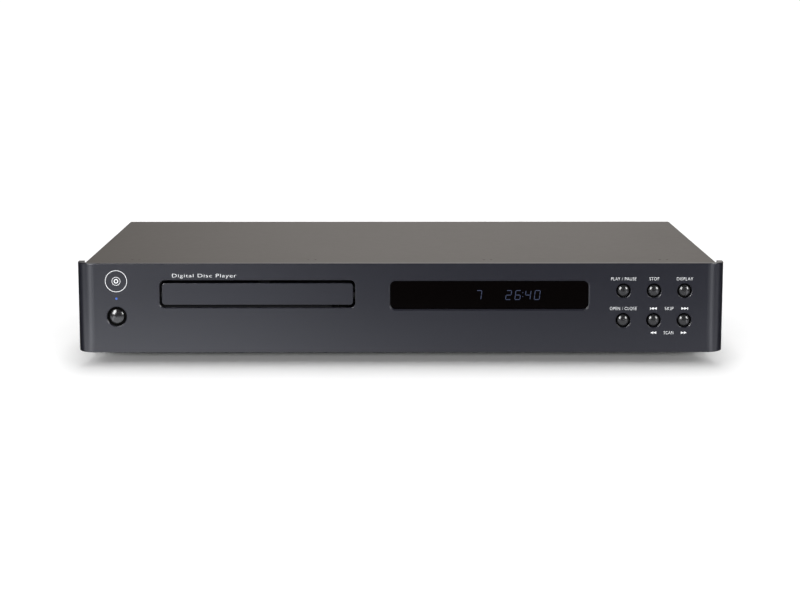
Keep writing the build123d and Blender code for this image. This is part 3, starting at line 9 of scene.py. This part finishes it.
import bmesh
import bpy
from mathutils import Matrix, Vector


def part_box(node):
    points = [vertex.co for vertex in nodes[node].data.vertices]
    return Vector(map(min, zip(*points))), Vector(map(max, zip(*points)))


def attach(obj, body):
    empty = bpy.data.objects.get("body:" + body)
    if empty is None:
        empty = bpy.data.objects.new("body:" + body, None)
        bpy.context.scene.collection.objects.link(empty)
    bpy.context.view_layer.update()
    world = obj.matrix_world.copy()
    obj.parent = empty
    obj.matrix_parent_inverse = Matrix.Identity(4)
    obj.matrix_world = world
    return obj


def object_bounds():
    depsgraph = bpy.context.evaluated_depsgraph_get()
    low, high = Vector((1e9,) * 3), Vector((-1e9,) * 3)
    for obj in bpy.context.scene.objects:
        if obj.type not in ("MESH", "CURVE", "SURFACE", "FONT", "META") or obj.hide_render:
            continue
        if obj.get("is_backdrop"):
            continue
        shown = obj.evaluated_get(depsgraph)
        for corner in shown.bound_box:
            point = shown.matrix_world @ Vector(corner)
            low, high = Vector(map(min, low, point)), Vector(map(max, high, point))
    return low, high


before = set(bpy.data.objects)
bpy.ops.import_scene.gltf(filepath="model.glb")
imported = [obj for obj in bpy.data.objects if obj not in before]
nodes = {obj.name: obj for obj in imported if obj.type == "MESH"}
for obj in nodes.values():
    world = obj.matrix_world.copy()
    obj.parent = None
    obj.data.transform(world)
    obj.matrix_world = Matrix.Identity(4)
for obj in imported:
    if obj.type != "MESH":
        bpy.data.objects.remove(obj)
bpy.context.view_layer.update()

# %% [markdown]
# ## Where things are
# Every place is read from the model's own boxes, so the drawing and the picture can't drift apart. The
# front face is the front of the front panel, and a button's centre is the centre of its box.

# %%
panel_low, panel_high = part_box("front_panel")
front = panel_low.y
mm = 0.001


def centre(node):
    """The middle of a node's box."""
    low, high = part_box(node)
    return (low + high) / 2


buttons = [n for n in nodes if n.endswith("_button")]
print("front face at y =", round(front, 4), "with", len(buttons), "buttons")

# %% [markdown]
# ## Shared shader parts
# A node group is a small machine that several materials use. Each one here gives a mask or a height, never
# a colour of its own, so one group serves black paint and bare steel alike. `interface.new_socket` names
# its inputs and outputs.

# %%


def new_group(name, inputs, outputs):
    """An empty shader group with float inputs, given as name and default, and float outputs."""
    group = bpy.data.node_groups.new(name, "ShaderNodeTree")
    for socket, default in inputs:
        made = group.interface.new_socket(socket, in_out="INPUT", socket_type="NodeSocketFloat")
        made.default_value = default
    for socket in outputs:
        group.interface.new_socket(socket, in_out="OUTPUT", socket_type="NodeSocketFloat")
    start = group.nodes.new("NodeGroupInput")
    end = group.nodes.new("NodeGroupOutput")
    return group, start, end


def add_node(tree, kind, **settings):
    """A node of a kind, with its settings."""
    node = tree.nodes.new(kind)
    for key, value in settings.items():
        setattr(node, key, value)
    return node


def noise(tree, place, scale, detail, stretch=(1, 1, 1)):
    """Noise in the object's own space, stretched along an axis where stretch is small."""
    mapping = add_node(tree, "ShaderNodeMapping")
    mapping.inputs["Scale"].default_value = stretch
    texture = add_node(tree, "ShaderNodeTexNoise")
    texture.inputs["Detail"].default_value = detail
    tree.links.new(place, mapping.inputs["Vector"])
    tree.links.new(mapping.outputs["Vector"], texture.inputs["Vector"])
    if isinstance(scale, (int, float)):
        texture.inputs["Scale"].default_value = scale
    else:
        tree.links.new(scale, texture.inputs["Scale"])
    return texture.outputs["Fac"]


grain_group, start, end = new_group("Fine grain", [("Scale", 3000.0)], ["Height", "Cloud"])
where = add_node(grain_group, "ShaderNodeTexCoord").outputs["Object"]
fine = noise(grain_group, where, start.outputs["Scale"], 3.0)
cloud = noise(grain_group, where, 14.0, 4.0)
grain_group.links.new(fine, end.inputs["Height"])
grain_group.links.new(cloud, end.inputs["Cloud"])

# %% [markdown]
# Dust and finger marks gather slowly and unevenly. Two noises multiplied together give soft islands, which
# the materials use to raise the roughness a little, because a film of dust scatters light.

# %%
dust_group, start, end = new_group("Dust film", [("Amount", 0.5)], ["Mask"])
where = add_node(dust_group, "ShaderNodeTexCoord").outputs["Object"]
product = add_node(dust_group, "ShaderNodeMath", operation="MULTIPLY")
dust_group.links.new(noise(dust_group, where, 9.0, 5.0), product.inputs[0])
dust_group.links.new(noise(dust_group, where, 160.0, 6.0), product.inputs[1])
scaled = add_node(dust_group, "ShaderNodeMath", operation="MULTIPLY", use_clamp=True)
dust_group.links.new(product.outputs[0], scaled.inputs[0])
dust_group.links.new(start.outputs["Amount"], scaled.inputs[1])
dust_group.links.new(scaled.outputs[0], end.inputs["Mask"])

# %% [markdown]
# Rolled and drawn metal has fine parallel lines. Noise squeezed along one axis gives them, and the same
# lines serve the pan's sheet and the rods.

# %%
lines_group, start, end = new_group("Rolling lines", [("Scale", 900.0)], ["Lines"])
where = add_node(lines_group, "ShaderNodeTexCoord").outputs["Object"]
lines = noise(lines_group, where, start.outputs["Scale"], 3.0, stretch=(0.02, 1, 1))
lines_group.links.new(lines, end.inputs["Lines"])
print("shader groups:", [g.name for g in bpy.data.node_groups])

# %% [markdown]
# ## One function for most materials
# A finish is a base colour that varies a little, a roughness that varies with dust, and a fine bump. The
# function takes those as plain numbers and wires them into one Principled BSDF, so each material below
# reads as a recipe.

# %%


def finish(name, colour, roughness, metallic=0.0, grain=3000.0, bump=0.08, depth=0.00002, vary=0.12,
           dust=0.25, coat=0.0, shine=0.5, lines=False):
    """A procedural finish. vary is how much the colour changes, dust how much the roughness does."""
    material = bpy.data.materials.new(name)
    material.use_nodes = True
    tree = material.node_tree
    tree.nodes.clear()
    shader = add_node(tree, "ShaderNodeBsdfPrincipled")
    output = add_node(tree, "ShaderNodeOutputMaterial")
    tree.links.new(shader.outputs["BSDF"], output.inputs["Surface"])
    grain_node = add_node(tree, "ShaderNodeGroup", node_tree=grain_group)
    grain_node.inputs["Scale"].default_value = grain
    dust_node = add_node(tree, "ShaderNodeGroup", node_tree=dust_group)
    dust_node.inputs["Amount"].default_value = dust
    height, cloud = grain_node.outputs["Height"], grain_node.outputs["Cloud"]
    if lines:
        lines_node = add_node(tree, "ShaderNodeGroup", node_tree=lines_group)
        height = lines_node.outputs["Lines"]
    ramp = add_node(tree, "ShaderNodeMix", data_type="RGBA")
    ramp.inputs["A"].default_value = (*[c * (1 - vary) for c in colour], 1)
    ramp.inputs["B"].default_value = (*[min(1, c * (1 + vary)) for c in colour], 1)
    tree.links.new(cloud, ramp.inputs["Factor"])
    tree.links.new(ramp.outputs["Result"], shader.inputs["Base Color"])
    rough = add_node(tree, "ShaderNodeMapRange")
    rough.inputs["To Min"].default_value = roughness
    rough.inputs["To Max"].default_value = min(1.0, roughness + 0.3)
    tree.links.new(dust_node.outputs["Mask"], rough.inputs["Value"])
    tree.links.new(rough.outputs["Result"], shader.inputs["Roughness"])
    relief = add_node(tree, "ShaderNodeBump")
    relief.inputs["Strength"].default_value = bump
    relief.inputs["Distance"].default_value = depth
    tree.links.new(height, relief.inputs["Height"])
    tree.links.new(relief.outputs["Normal"], shader.inputs["Normal"])
    shader.inputs["Metallic"].default_value = metallic
    shader.inputs["Coat Weight"].default_value = coat
    shader.inputs["Specular IOR Level"].default_value = shine
    return material


def wear(material, *names):
    """Gives a material to CAD nodes or to new pieces."""
    for name in names:
        target = nodes.get(name) or bpy.data.objects[name]
        target.data.materials.clear()
        target.data.materials.append(material)


# %% [markdown]
# ## The front panel and the cover
# The front is moulded in a dark blue-grey with a satin texture, and the cover is painted sheet steel in a
# warmer, matter grey. Both are almost black, so their look is mostly how they reflect the studio.

# %%
front_colour, cover_colour = (0.0076, 0.0080, 0.0135), (0.062, 0.054, 0.047)
front_plastic = finish("front plastic", front_colour, 0.31, bump=0.1, vary=0.06, grain=2600.0, shine=1.0)
wear(front_plastic, "front_panel", "tray_door")
cover_paint = finish("cover paint", cover_colour, 0.5, bump=0.3, grain=1900.0, depth=0.00004, vary=0.05)
wear(cover_paint, "top_cover")
rear_paint = finish("rear paint", (0.03, 0.03, 0.03), 0.55, bump=0.2, grain=1900.0)
wear(rear_paint, "rear_panel")

# %% [markdown]
# ## Window, buttons and light
# The window is a sheet of smooth, deeply tinted plastic that gives back almost no light. The buttons are
# black with a clear shine, and the guides behind them are dull so that each cap stands in a dark ring.

# %%
window_colour = (0.0012, 0.0009, 0.0009)
window_gloss = finish("window gloss", window_colour, 0.09, bump=0.01, vary=0.2, dust=0.06, shine=0.04)
wear(window_gloss, "display_window")
button_black = finish("button black", (0.014, 0.014, 0.015), 0.19, bump=0.05, vary=0.2, dust=0.2, shine=1.0)
wear(button_black, *buttons)
guide_black = finish("guide black", (0.002, 0.002, 0.002), 0.7, shine=0.1)
wear(guide_black, "button_guides")

# %% [markdown]
# The power light is a clear rod lit from behind. Emission does the lighting, and noise makes its face a
# little uneven, as a moulded rod is.

# %%
light_blue = finish("power light", (0.02, 0.04, 0.12), 0.25, vary=0.1)
lamp = light_blue.node_tree.nodes["Principled BSDF"]
lamp.inputs["Emission Color"].default_value = (0.10, 0.26, 1.0, 1)
lamp.inputs["Emission Strength"].default_value = 0.55
wear(light_blue, "power_light")

# %% [markdown]
# ## Everything inside and behind
# These parts show through the open tray, the vents and the socket holes. Each gets the finish that such a
# part is bought in: zinc sheet, acetal, green board, black rubber. The gears nearest the tray slot are
# black acetal, so that nothing bright shows in the gap round the door.

# %%
zinc = finish("zinc sheet", (0.55, 0.56, 0.55), 0.38, metallic=1.0, lines=True, bump=0.15, vary=0.06)
wear(zinc, "base_pan")
wear(finish("foot moulding", (0.012, 0.012, 0.012), 0.5), "feet")
rubber = finish("foot rubber", (0.02, 0.02, 0.02), 0.85, bump=0.4, grain=1200.0)
wear(rubber, "foot_pads", "loader_mounts", "drive_belt")
wear(finish("black screws", (0.05, 0.05, 0.052), 0.35, metallic=1.0), "screws")
board_green = finish("board green", (0.012, 0.09, 0.035), 0.3, coat=0.4, vary=0.25, grain=700.0)
wear(board_green, "front_boards", "main_board", "power_board")
part_black = finish("component black", (0.012, 0.012, 0.013), 0.45)
wear(part_black, "front_board_parts", "board_chips", "mains_inlet", "power_switch", "power_rocker")
wear(part_black, "optical_jack", "optical_flap")
wear(finish("capacitor sleeve", (0.01, 0.015, 0.05), 0.3, coat=0.3), "capacitors")
wear(finish("display glass", (0.03, 0.045, 0.045), 0.1, coat=0.5), "display_tube")
loader_black = finish("loader moulding", (0.012, 0.012, 0.013), 0.5, bump=0.2)
wear(loader_black, "loader_frame", "clamp_bridge", "pickup_chassis", "pickup_sled")
wear(finish("tray moulding", (0.018, 0.018, 0.019), 0.45, bump=0.25, grain=1500.0), "disc_tray")
acetal = finish("natural acetal", (0.72, 0.70, 0.64), 0.4, vary=0.04)
wear(acetal, "sled_gear", "sled_motor_gear")
black_acetal = finish("black acetal", (0.006, 0.006, 0.006), 0.5, shine=0.2)
wear(black_acetal, "drive_gear", "pulley_gear", "motor_pulley", "cam_slider")
wear(finish("clamp plastic", (0.02, 0.02, 0.02), 0.4), "clamp_disc", "turntable", "lens_holder")
wear(finish("magnet plating", (0.4, 0.4, 0.42), 0.3, metallic=1.0), "clamp_magnet")
motor_steel = finish("motor steel", (0.5, 0.5, 0.5), 0.3, metallic=1.0, lines=True)
wear(motor_steel, "tray_motor", "spindle_motor", "sled_motor", "guide_rods")
wear(finish("transformer tape", (0.5, 0.36, 0.05), 0.4), "transformer")
wear(finish("aluminium fins", (0.7, 0.7, 0.71), 0.35, metallic=1.0, lines=True), "heat_sink")
wear(finish("jack plastic", (0.6, 0.58, 0.55), 0.4), "jack_block")
wear(finish("jack gilding", (0.75, 0.55, 0.22), 0.22, metallic=1.0), "jack_shells")
wear(finish("turned brass", (0.6, 0.45, 0.18), 0.3, metallic=1.0), "board_posts")
wear(finish("lead insulation", (0.015, 0.015, 0.015), 0.5), "mains_leads")
wear(finish("cable film", (0.75, 0.76, 0.78), 0.4, vary=0.05), "flat_cable")
print("materials:", len(bpy.data.materials))

# %% [markdown]
# ## Printed words
# Front panels are screen printed: ink a few hundredths of a millimetre thick. Each word is a text object
# turned into a mesh and scaled until its capitals have the wanted height and the whole word the wanted
# width.

# %%
ink = finish("white ink", (0.62, 0.63, 0.64), 0.5, bump=0.1, vary=0.06)
ink_lift = 0.04 * mm
stroke_thinning, letter_spacing = -0.012, 1.12


def flat_piece(name, mesh, material):
    """A mesh on the front face that moves with the case."""
    piece = bpy.data.objects.new(name, mesh)
    bpy.context.scene.collection.objects.link(piece)
    mesh.materials.append(material)
    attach(piece, "case")
    return piece


def word(name, text, x, z, width, height):
    """Printed text with its middle at x and z, of a given width and capital height, in metres."""
    curve = bpy.data.curves.new(name, "FONT")
    curve.body = text
    curve.offset = stroke_thinning
    curve.space_character = letter_spacing
    holder = bpy.data.objects.new(name + "_text", curve)
    bpy.context.scene.collection.objects.link(holder)
    bpy.context.view_layer.update()
    mesh = bpy.data.meshes.new_from_object(holder.evaluated_get(bpy.context.evaluated_depsgraph_get()))
    bpy.data.objects.remove(holder)
    points = [v.co.copy() for v in mesh.vertices]
    low = Vector((min(p.x for p in points), min(p.y for p in points)))
    high = Vector((max(p.x for p in points), max(p.y for p in points)))
    across, up = width / (high.x - low.x), height / (high.y - low.y)
    for vertex, p in zip(mesh.vertices, points):
        aside, above_middle = p.x - (low.x + high.x) / 2, p.y - (low.y + high.y) / 2
        vertex.co = (x + aside * across, front - ink_lift, z + above_middle * up)
    return flat_piece(name, mesh, ink)


rows = sorted({round(centre(b).z, 5) for b in buttons if b != "power_button"})
columns = sorted({round(centre(b).x, 5) for b in buttons if b != "power_button"})
above, below = 8.1 * mm, 8.4 * mm
capital = 2.1 * mm
between = (columns[1] + columns[2]) / 2
word("label_play", "PLAY / PAUSE", columns[0], rows[1] + above, 16.8 * mm, capital)
word("label_stop", "STOP", columns[1], rows[1] + above, 6.6 * mm, capital)
word("label_display", "DISPLAY", columns[2], rows[1] + above, 10.9 * mm, capital)
word("label_open", "OPEN / CLOSE", columns[0], rows[0] + above, 18.0 * mm, capital)
word("label_skip", "SKIP", between, rows[0] + above, 5.7 * mm, capital)
word("label_scan", "SCAN", between, rows[0] - below, 6.4 * mm, capital)
door = centre("tray_door")
title_x, title_z = door.x - 35.4 * mm, door.z + 12.3 * mm
word("label_title", "Digital Disc Player", title_x, title_z, 43 * mm, 3.1 * mm)

# %% [markdown]
# The skip and scan marks are plain shapes, so they are built from triangles and a bar instead of a
# typeface.

# %%


def shape(name, outlines, material):
    """Flat filled outlines on the front face, each a list of x and z in metres."""
    mesh = bpy.data.meshes.new(name)
    build = bmesh.new()
    for outline in outlines:
        build.faces.new([build.verts.new((x, front - ink_lift, z)) for x, z in outline])
    build.to_mesh(mesh)
    build.free()
    return flat_piece(name, mesh, material)


def arrows(name, x, z, direction, bar):
    """Two triangles that point along direction, with a bar at their tip for skip."""
    half, long = 0.85 * mm, 2.0 * mm
    outlines = []
    for k in (-1, 0):
        base = x + direction * k * long
        outlines.append([(base, z - half), (base, z + half), (base + direction * long, z)][:: -direction])
    if bar:
        tip = x + direction * (long + 0.1 * mm)
        end = tip + direction * 0.4 * mm
        outlines.append([(tip, z - half), (tip, z + half), (end, z + half), (end, z - half)][:: -direction])
    return shape(name, outlines, ink)


arrows("mark_skip_back", columns[1], rows[0] + above, -1, True)
arrows("mark_skip_next", columns[2], rows[0] + above, 1, True)
arrows("mark_scan_back", columns[1], rows[0] - below, -1, False)
arrows("mark_scan_next", columns[2], rows[0] - below, 1, False)

# %% [markdown]
# A small disc pictogram sits above the power button: three rings, each a band between two circles.

# %%


def ring(x, z, inner, outer, steps=64):
    """The four-sided faces of a flat ring."""
    faces = []
    for k in range(steps):
        a, b = (2 * math.pi * (k + j) / steps for j in (0, 1))
        corners = [(outer, a), (outer, b), (inner, b), (inner, a)]
        faces.append([(x + r * math.cos(t), z + r * math.sin(t)) for r, t in corners])
    return faces


power = centre("power_button")
mark_z = power.z + 24.0 * mm
rings = ring(power.x, mark_z, 7.0 * mm, 7.35 * mm) + ring(power.x, mark_z, 2.6 * mm, 2.9 * mm)
rings += ring(power.x, mark_z, 0.9 * mm, 1.5 * mm)
shape("mark_disc", rings, ink)

# %% [markdown]
# ## The display
# A fluorescent display draws each digit with seven glowing bars. A digit is a set of bars, so one table of
# letters says which of the seven are lit, and a function draws them, leaning a little to the right.

# %%
glow = finish("display glow", (0.01, 0.012, 0.02), 0.4, vary=0.1, dust=0.0)
phosphor = glow.node_tree.nodes["Principled BSDF"]
phosphor.inputs["Emission Color"].default_value = (0.10, 0.14, 0.30, 1)
phosphor.inputs["Emission Strength"].default_value = 0.26
LIT = {"7": "abc", "2": "abged", "6": "afgedc", "4": "fgbc", "0": "abcdef"}
digit_width, digit_height, bar_width = 3.9 * mm, 6.6 * mm, 0.5 * mm
window = centre("display_window")


def digit(letter, x, z):
    """The outlines of a digit's lit bars, with its lower left corner at x and z."""
    w, h, t = digit_width, digit_height, bar_width
    boxes = {
        "a": (t, h - t, w - t, h),
        "b": (w - t, h / 2 + t / 2, w, h - t),
        "c": (w - t, t, w, h / 2 - t / 2),
        "d": (t, 0, w - t, t),
        "e": (0, t, t, h / 2 - t / 2),
        "f": (0, h / 2 + t / 2, t, h - t),
        "g": (t, h / 2 - t / 2, w - t, h / 2 + t / 2),
    }
    lean = 0.12
    outlines = []
    for bar in LIT[letter]:
        x0, z0, x1, z1 = boxes[bar]
        corners = [(x0, z0), (x1, z0), (x1, z1), (x0, z1)]
        outlines.append([(x + cx + lean * cz, z + cz) for cx, cz in corners])
    return outlines


digit_z = window.z - 3.3 * mm
lit = digit("7", window.x - 9.4 * mm, digit_z)
for place, letter in zip((10.6, 16.8, 23.6, 29.8), "2640"):
    lit += digit(letter, window.x + place * mm, digit_z)
x = window.x + 22.2 * mm
for z in (2.0 * mm, 4.6 * mm):
    low, high = digit_z + z, digit_z + z + bar_width
    lit.append([(x, low), (x + bar_width, low), (x + bar_width, high), (x, high)])
shape("display_digits", lit, glow)
digits = bpy.data.objects["display_digits"]
for vertex in digits.data.vertices:
    vertex.co.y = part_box("display_window")[0].y - ink_lift

# %% [markdown]
# ## Studio
# A pale floor ends behind the object, where a white backdrop takes over. The world looks white to the
# camera and lights everything else at half that, which leaves the lamps room to shape a shadow.

# %%


def sheet(name, corners, material, origin=(0, 0, 0)):
    """A flat piece of the stage, its corners measured from the origin."""
    mesh = bpy.data.meshes.new(name)
    build = bmesh.new()
    build.faces.new([build.verts.new(c) for c in corners])
    build.to_mesh(mesh)
    build.free()
    mesh.materials.append(material)
    piece = bpy.data.objects.new(name, mesh)
    piece.location = origin
    bpy.context.scene.collection.objects.link(piece)
    piece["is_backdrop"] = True
    return piece


reach, behind = 4.0, 1.1
floor_white = finish("floor white", (0.93, 0.93, 0.93), 0.9, vary=0.01, bump=0.0, shine=0.0)
floor_corners = [(-reach, -reach, 0), (reach, -reach, 0), (reach, behind, 0), (-reach, behind, 0)]
floor = sheet("floor", floor_corners, floor_white)
floor.visible_glossy = False

world = bpy.data.worlds.new("studio")
bpy.context.scene.world = world
world.use_nodes = True
backdrop, room = 1.05, 0.55
seen = add_node(world.node_tree, "ShaderNodeLightPath").outputs["Is Camera Ray"]
mix = add_node(world.node_tree, "ShaderNodeMix", data_type="RGBA")
mix.inputs["A"].default_value = (room, room, room, 1)
mix.inputs["B"].default_value = (backdrop, backdrop, backdrop, 1)
background = world.node_tree.nodes["Background"]
world.node_tree.links.new(seen, mix.inputs["Factor"])
world.node_tree.links.new(mix.outputs["Result"], background.inputs["Color"])
world.cycles_visibility.glossy = False

# %% [markdown]
# ## Reflection cards
# Dark glossy things show their surroundings more than their own colour, so a studio stands cards around
# them. Here each card glows by a rule and is seen by reflections only. The front card is bright near the
# object and on the left, and dark far off on the right. A bright fan off each end draws a line down the
# rounded corners.

# %%


def arith(tree, operation, a, b=None):
    """One sum on two values, each a number or a socket."""
    node = add_node(tree, "ShaderNodeMath", operation=operation)
    for socket, value in zip(node.inputs, (a, b)):
        if isinstance(value, (int, float)):
            socket.default_value = value
        elif value is not None:
            tree.links.new(value, socket)
    return node.outputs[0]


def ease(tree, value, start, stop, low, high):
    """A smooth change from low to high while value goes from start to stop."""
    node = add_node(tree, "ShaderNodeMapRange", interpolation_type="SMOOTHSTEP")
    for socket, number in zip(("From Min", "From Max", "To Min", "To Max"), (start, stop, low, high)):
        node.inputs[socket].default_value = number
    tree.links.new(value, node.inputs["Value"])
    return node.outputs["Result"]


def card_material(name, tint):
    """A black material that glows, with its tree, its place sockets and a function to set the glow."""
    material = bpy.data.materials.new(name)
    material.use_nodes = True
    tree = material.node_tree
    shader = tree.nodes["Principled BSDF"]
    shader.inputs["Base Color"].default_value = (0, 0, 0, 1)
    shader.inputs["Specular IOR Level"].default_value = 0.0
    shader.inputs["Emission Strength"].default_value = 1.0
    split = add_node(tree, "ShaderNodeSeparateXYZ")
    tree.links.new(add_node(tree, "ShaderNodeTexCoord").outputs["Object"], split.inputs[0])

    def glow_by(value):
        mix = add_node(tree, "ShaderNodeMix", data_type="RGBA", clamp_factor=False)
        mix.inputs["A"].default_value = (0, 0, 0, 1)
        mix.inputs["B"].default_value = (*tint, 1)
        tree.links.new(value, mix.inputs["Factor"])
        tree.links.new(mix.outputs["Result"], shader.inputs["Emission Color"])

    return material, tree, split.outputs, glow_by


def reflections_only(piece):
    """Hides a stage piece from everything but reflections."""
    piece.visible_camera = piece.visible_diffuse = False
    piece.visible_shadow = piece.visible_transmission = False


half_width = panel_high.x
left_fan, right_fan = 0.62, 0.72
material, tree, place, glow_by = card_material("front card", (0.93, 0.95, 1.0))
away = arith(tree, "MULTIPLY", place["Y"], -1.0)
past = arith(tree, "SUBTRACT", arith(tree, "ABSOLUTE", place["X"]), half_width)
past = arith(tree, "MAXIMUM", past, 0.0)
squares = arith(tree, "ADD", arith(tree, "POWER", away, 2.0), arith(tree, "POWER", past, 2.0))
distance = arith(tree, "SQRT", squares)
slant = arith(tree, "DIVIDE", past, away)
fan = arith(tree, "DIVIDE", slant, ease(tree, place["X"], -0.1, 0.1, left_fan, right_fan))
far = ease(tree, place["X"], -0.20, 0.04, 0.38, 0.01)
far = arith(tree, "MULTIPLY", far, ease(tree, fan, 1.0, 1.5, 1.0, 0.5))
near = ease(tree, place["X"], -0.20, 0.16, 0.83, 0.45)
near = arith(tree, "MULTIPLY", near, ease(tree, distance, 0.09, 0.31, 1.0, 0.0))
strip = ease(tree, fan, 0.55, 0.9, 0.0, 1.8)
strip = arith(tree, "MULTIPLY", strip, ease(tree, fan, 1.1, 1.6, 1.0, 0.0))
strip = arith(tree, "ADD", strip, ease(tree, fan, 3.0, 9.0, 0.0, 0.6))
glow_by(arith(tree, "ADD", arith(tree, "ADD", far, near), strip))
card_lift = 0.0004
card_corners = [(-3, -3, 0), (3, -3, 0), (3, 0, 0), (-3, 0, 0)]
reflections_only(sheet("front_card", card_corners, material, (0, front, card_lift)))

material, tree, place, glow_by = card_material("back card", (1.0, 0.96, 0.92))
rise = ease(tree, place["X"], -0.9, -0.05, 0.15, 0.95)
glow_by(arith(tree, "MULTIPLY", rise, ease(tree, place["X"], 0.25, 0.9, 1.0, 0.75)))
card_corners = [(-4, 0, 0), (4, 0, 0), (4, 0, 3), (-4, 0, 3)]
reflections_only(sheet("back_card", card_corners, material, (0, 2.2, -0.1)))

# %% [markdown]
# ## Lights
# One long light hangs over the object and behind it, so its soft shadow falls forward. A low fill and two
# even lights open that shadow up. Two tall lights far out to the left and right reach glossy surfaces only,
# and make the pair of highlights on every domed button.

# %%


def softbox(name, place, target, width, depth, watts):
    """A rectangular light at place that looks at target."""
    data = bpy.data.lights.new(name, "AREA")
    data.shape = "RECTANGLE"
    data.size, data.size_y = width, depth
    data.energy = watts
    lamp = bpy.data.objects.new(name, data)
    bpy.context.scene.collection.objects.link(lamp)
    lamp.location = place
    lamp.rotation_euler = (Vector(target) - Vector(place)).to_track_quat("-Z", "Y").to_euler()
    return lamp


overhead = softbox("overhead", (0, front + 1.1, 1.6), (0, front + 1.1, 0), 0.8, 2.2, 20)
overhead.visible_glossy = False
fill = softbox("low_fill", (0, front - 2.0, 0.43), (0, front, 0), 2.0, 0.2, 44)
fill.visible_glossy = False
for side in (-1, 1):
    angle, distance, height = math.radians(38), 1.5, 0.75
    place = (side * distance * math.sin(angle), front - distance * math.cos(angle), height)
    even = softbox(f"even_{'left' if side < 0 else 'right'}", place, (0, front, 0.04), 0.42, 0.42, 5)
    even.visible_glossy = False
sparks = {"spark_left": (-0.62, front - 0.55, 0.58), "spark_right": (1.15, front - 0.62, 0.68)}
for name, place in sparks.items():
    spark = softbox(name, place, (0.1, front, 0.04), 0.42, 0.66, 11)
    spark.visible_diffuse = False
bpy.context.scene.view_settings.view_transform = "Standard"

# %% [markdown]
# ## Camera
# A long lens from just above the front, looking slightly down, shows the whole front and a narrow band of
# the top.

# %%
camera_data = bpy.data.cameras.new("camera")
camera_data.sensor_width = 36
camera_data.lens = 88.7
aside, away, height = -4.15 * mm, 1.3051, 0.2531
tilt, turn = 9.05, -0.159
camera = bpy.data.objects.new("camera", camera_data)
bpy.context.scene.collection.objects.link(camera)
camera.location = (aside, front - away, height)
camera.rotation_euler = (math.radians(90 - tilt), 0, math.radians(turn))
bpy.context.scene.camera = camera

# %% [markdown]
# ## The visual model's size
# The box round every rendered piece but the stage is printed, in millimetres.

# %%
low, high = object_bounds()
print("visual box, mm:", [round(1000 * c, 1) for c in high - low])
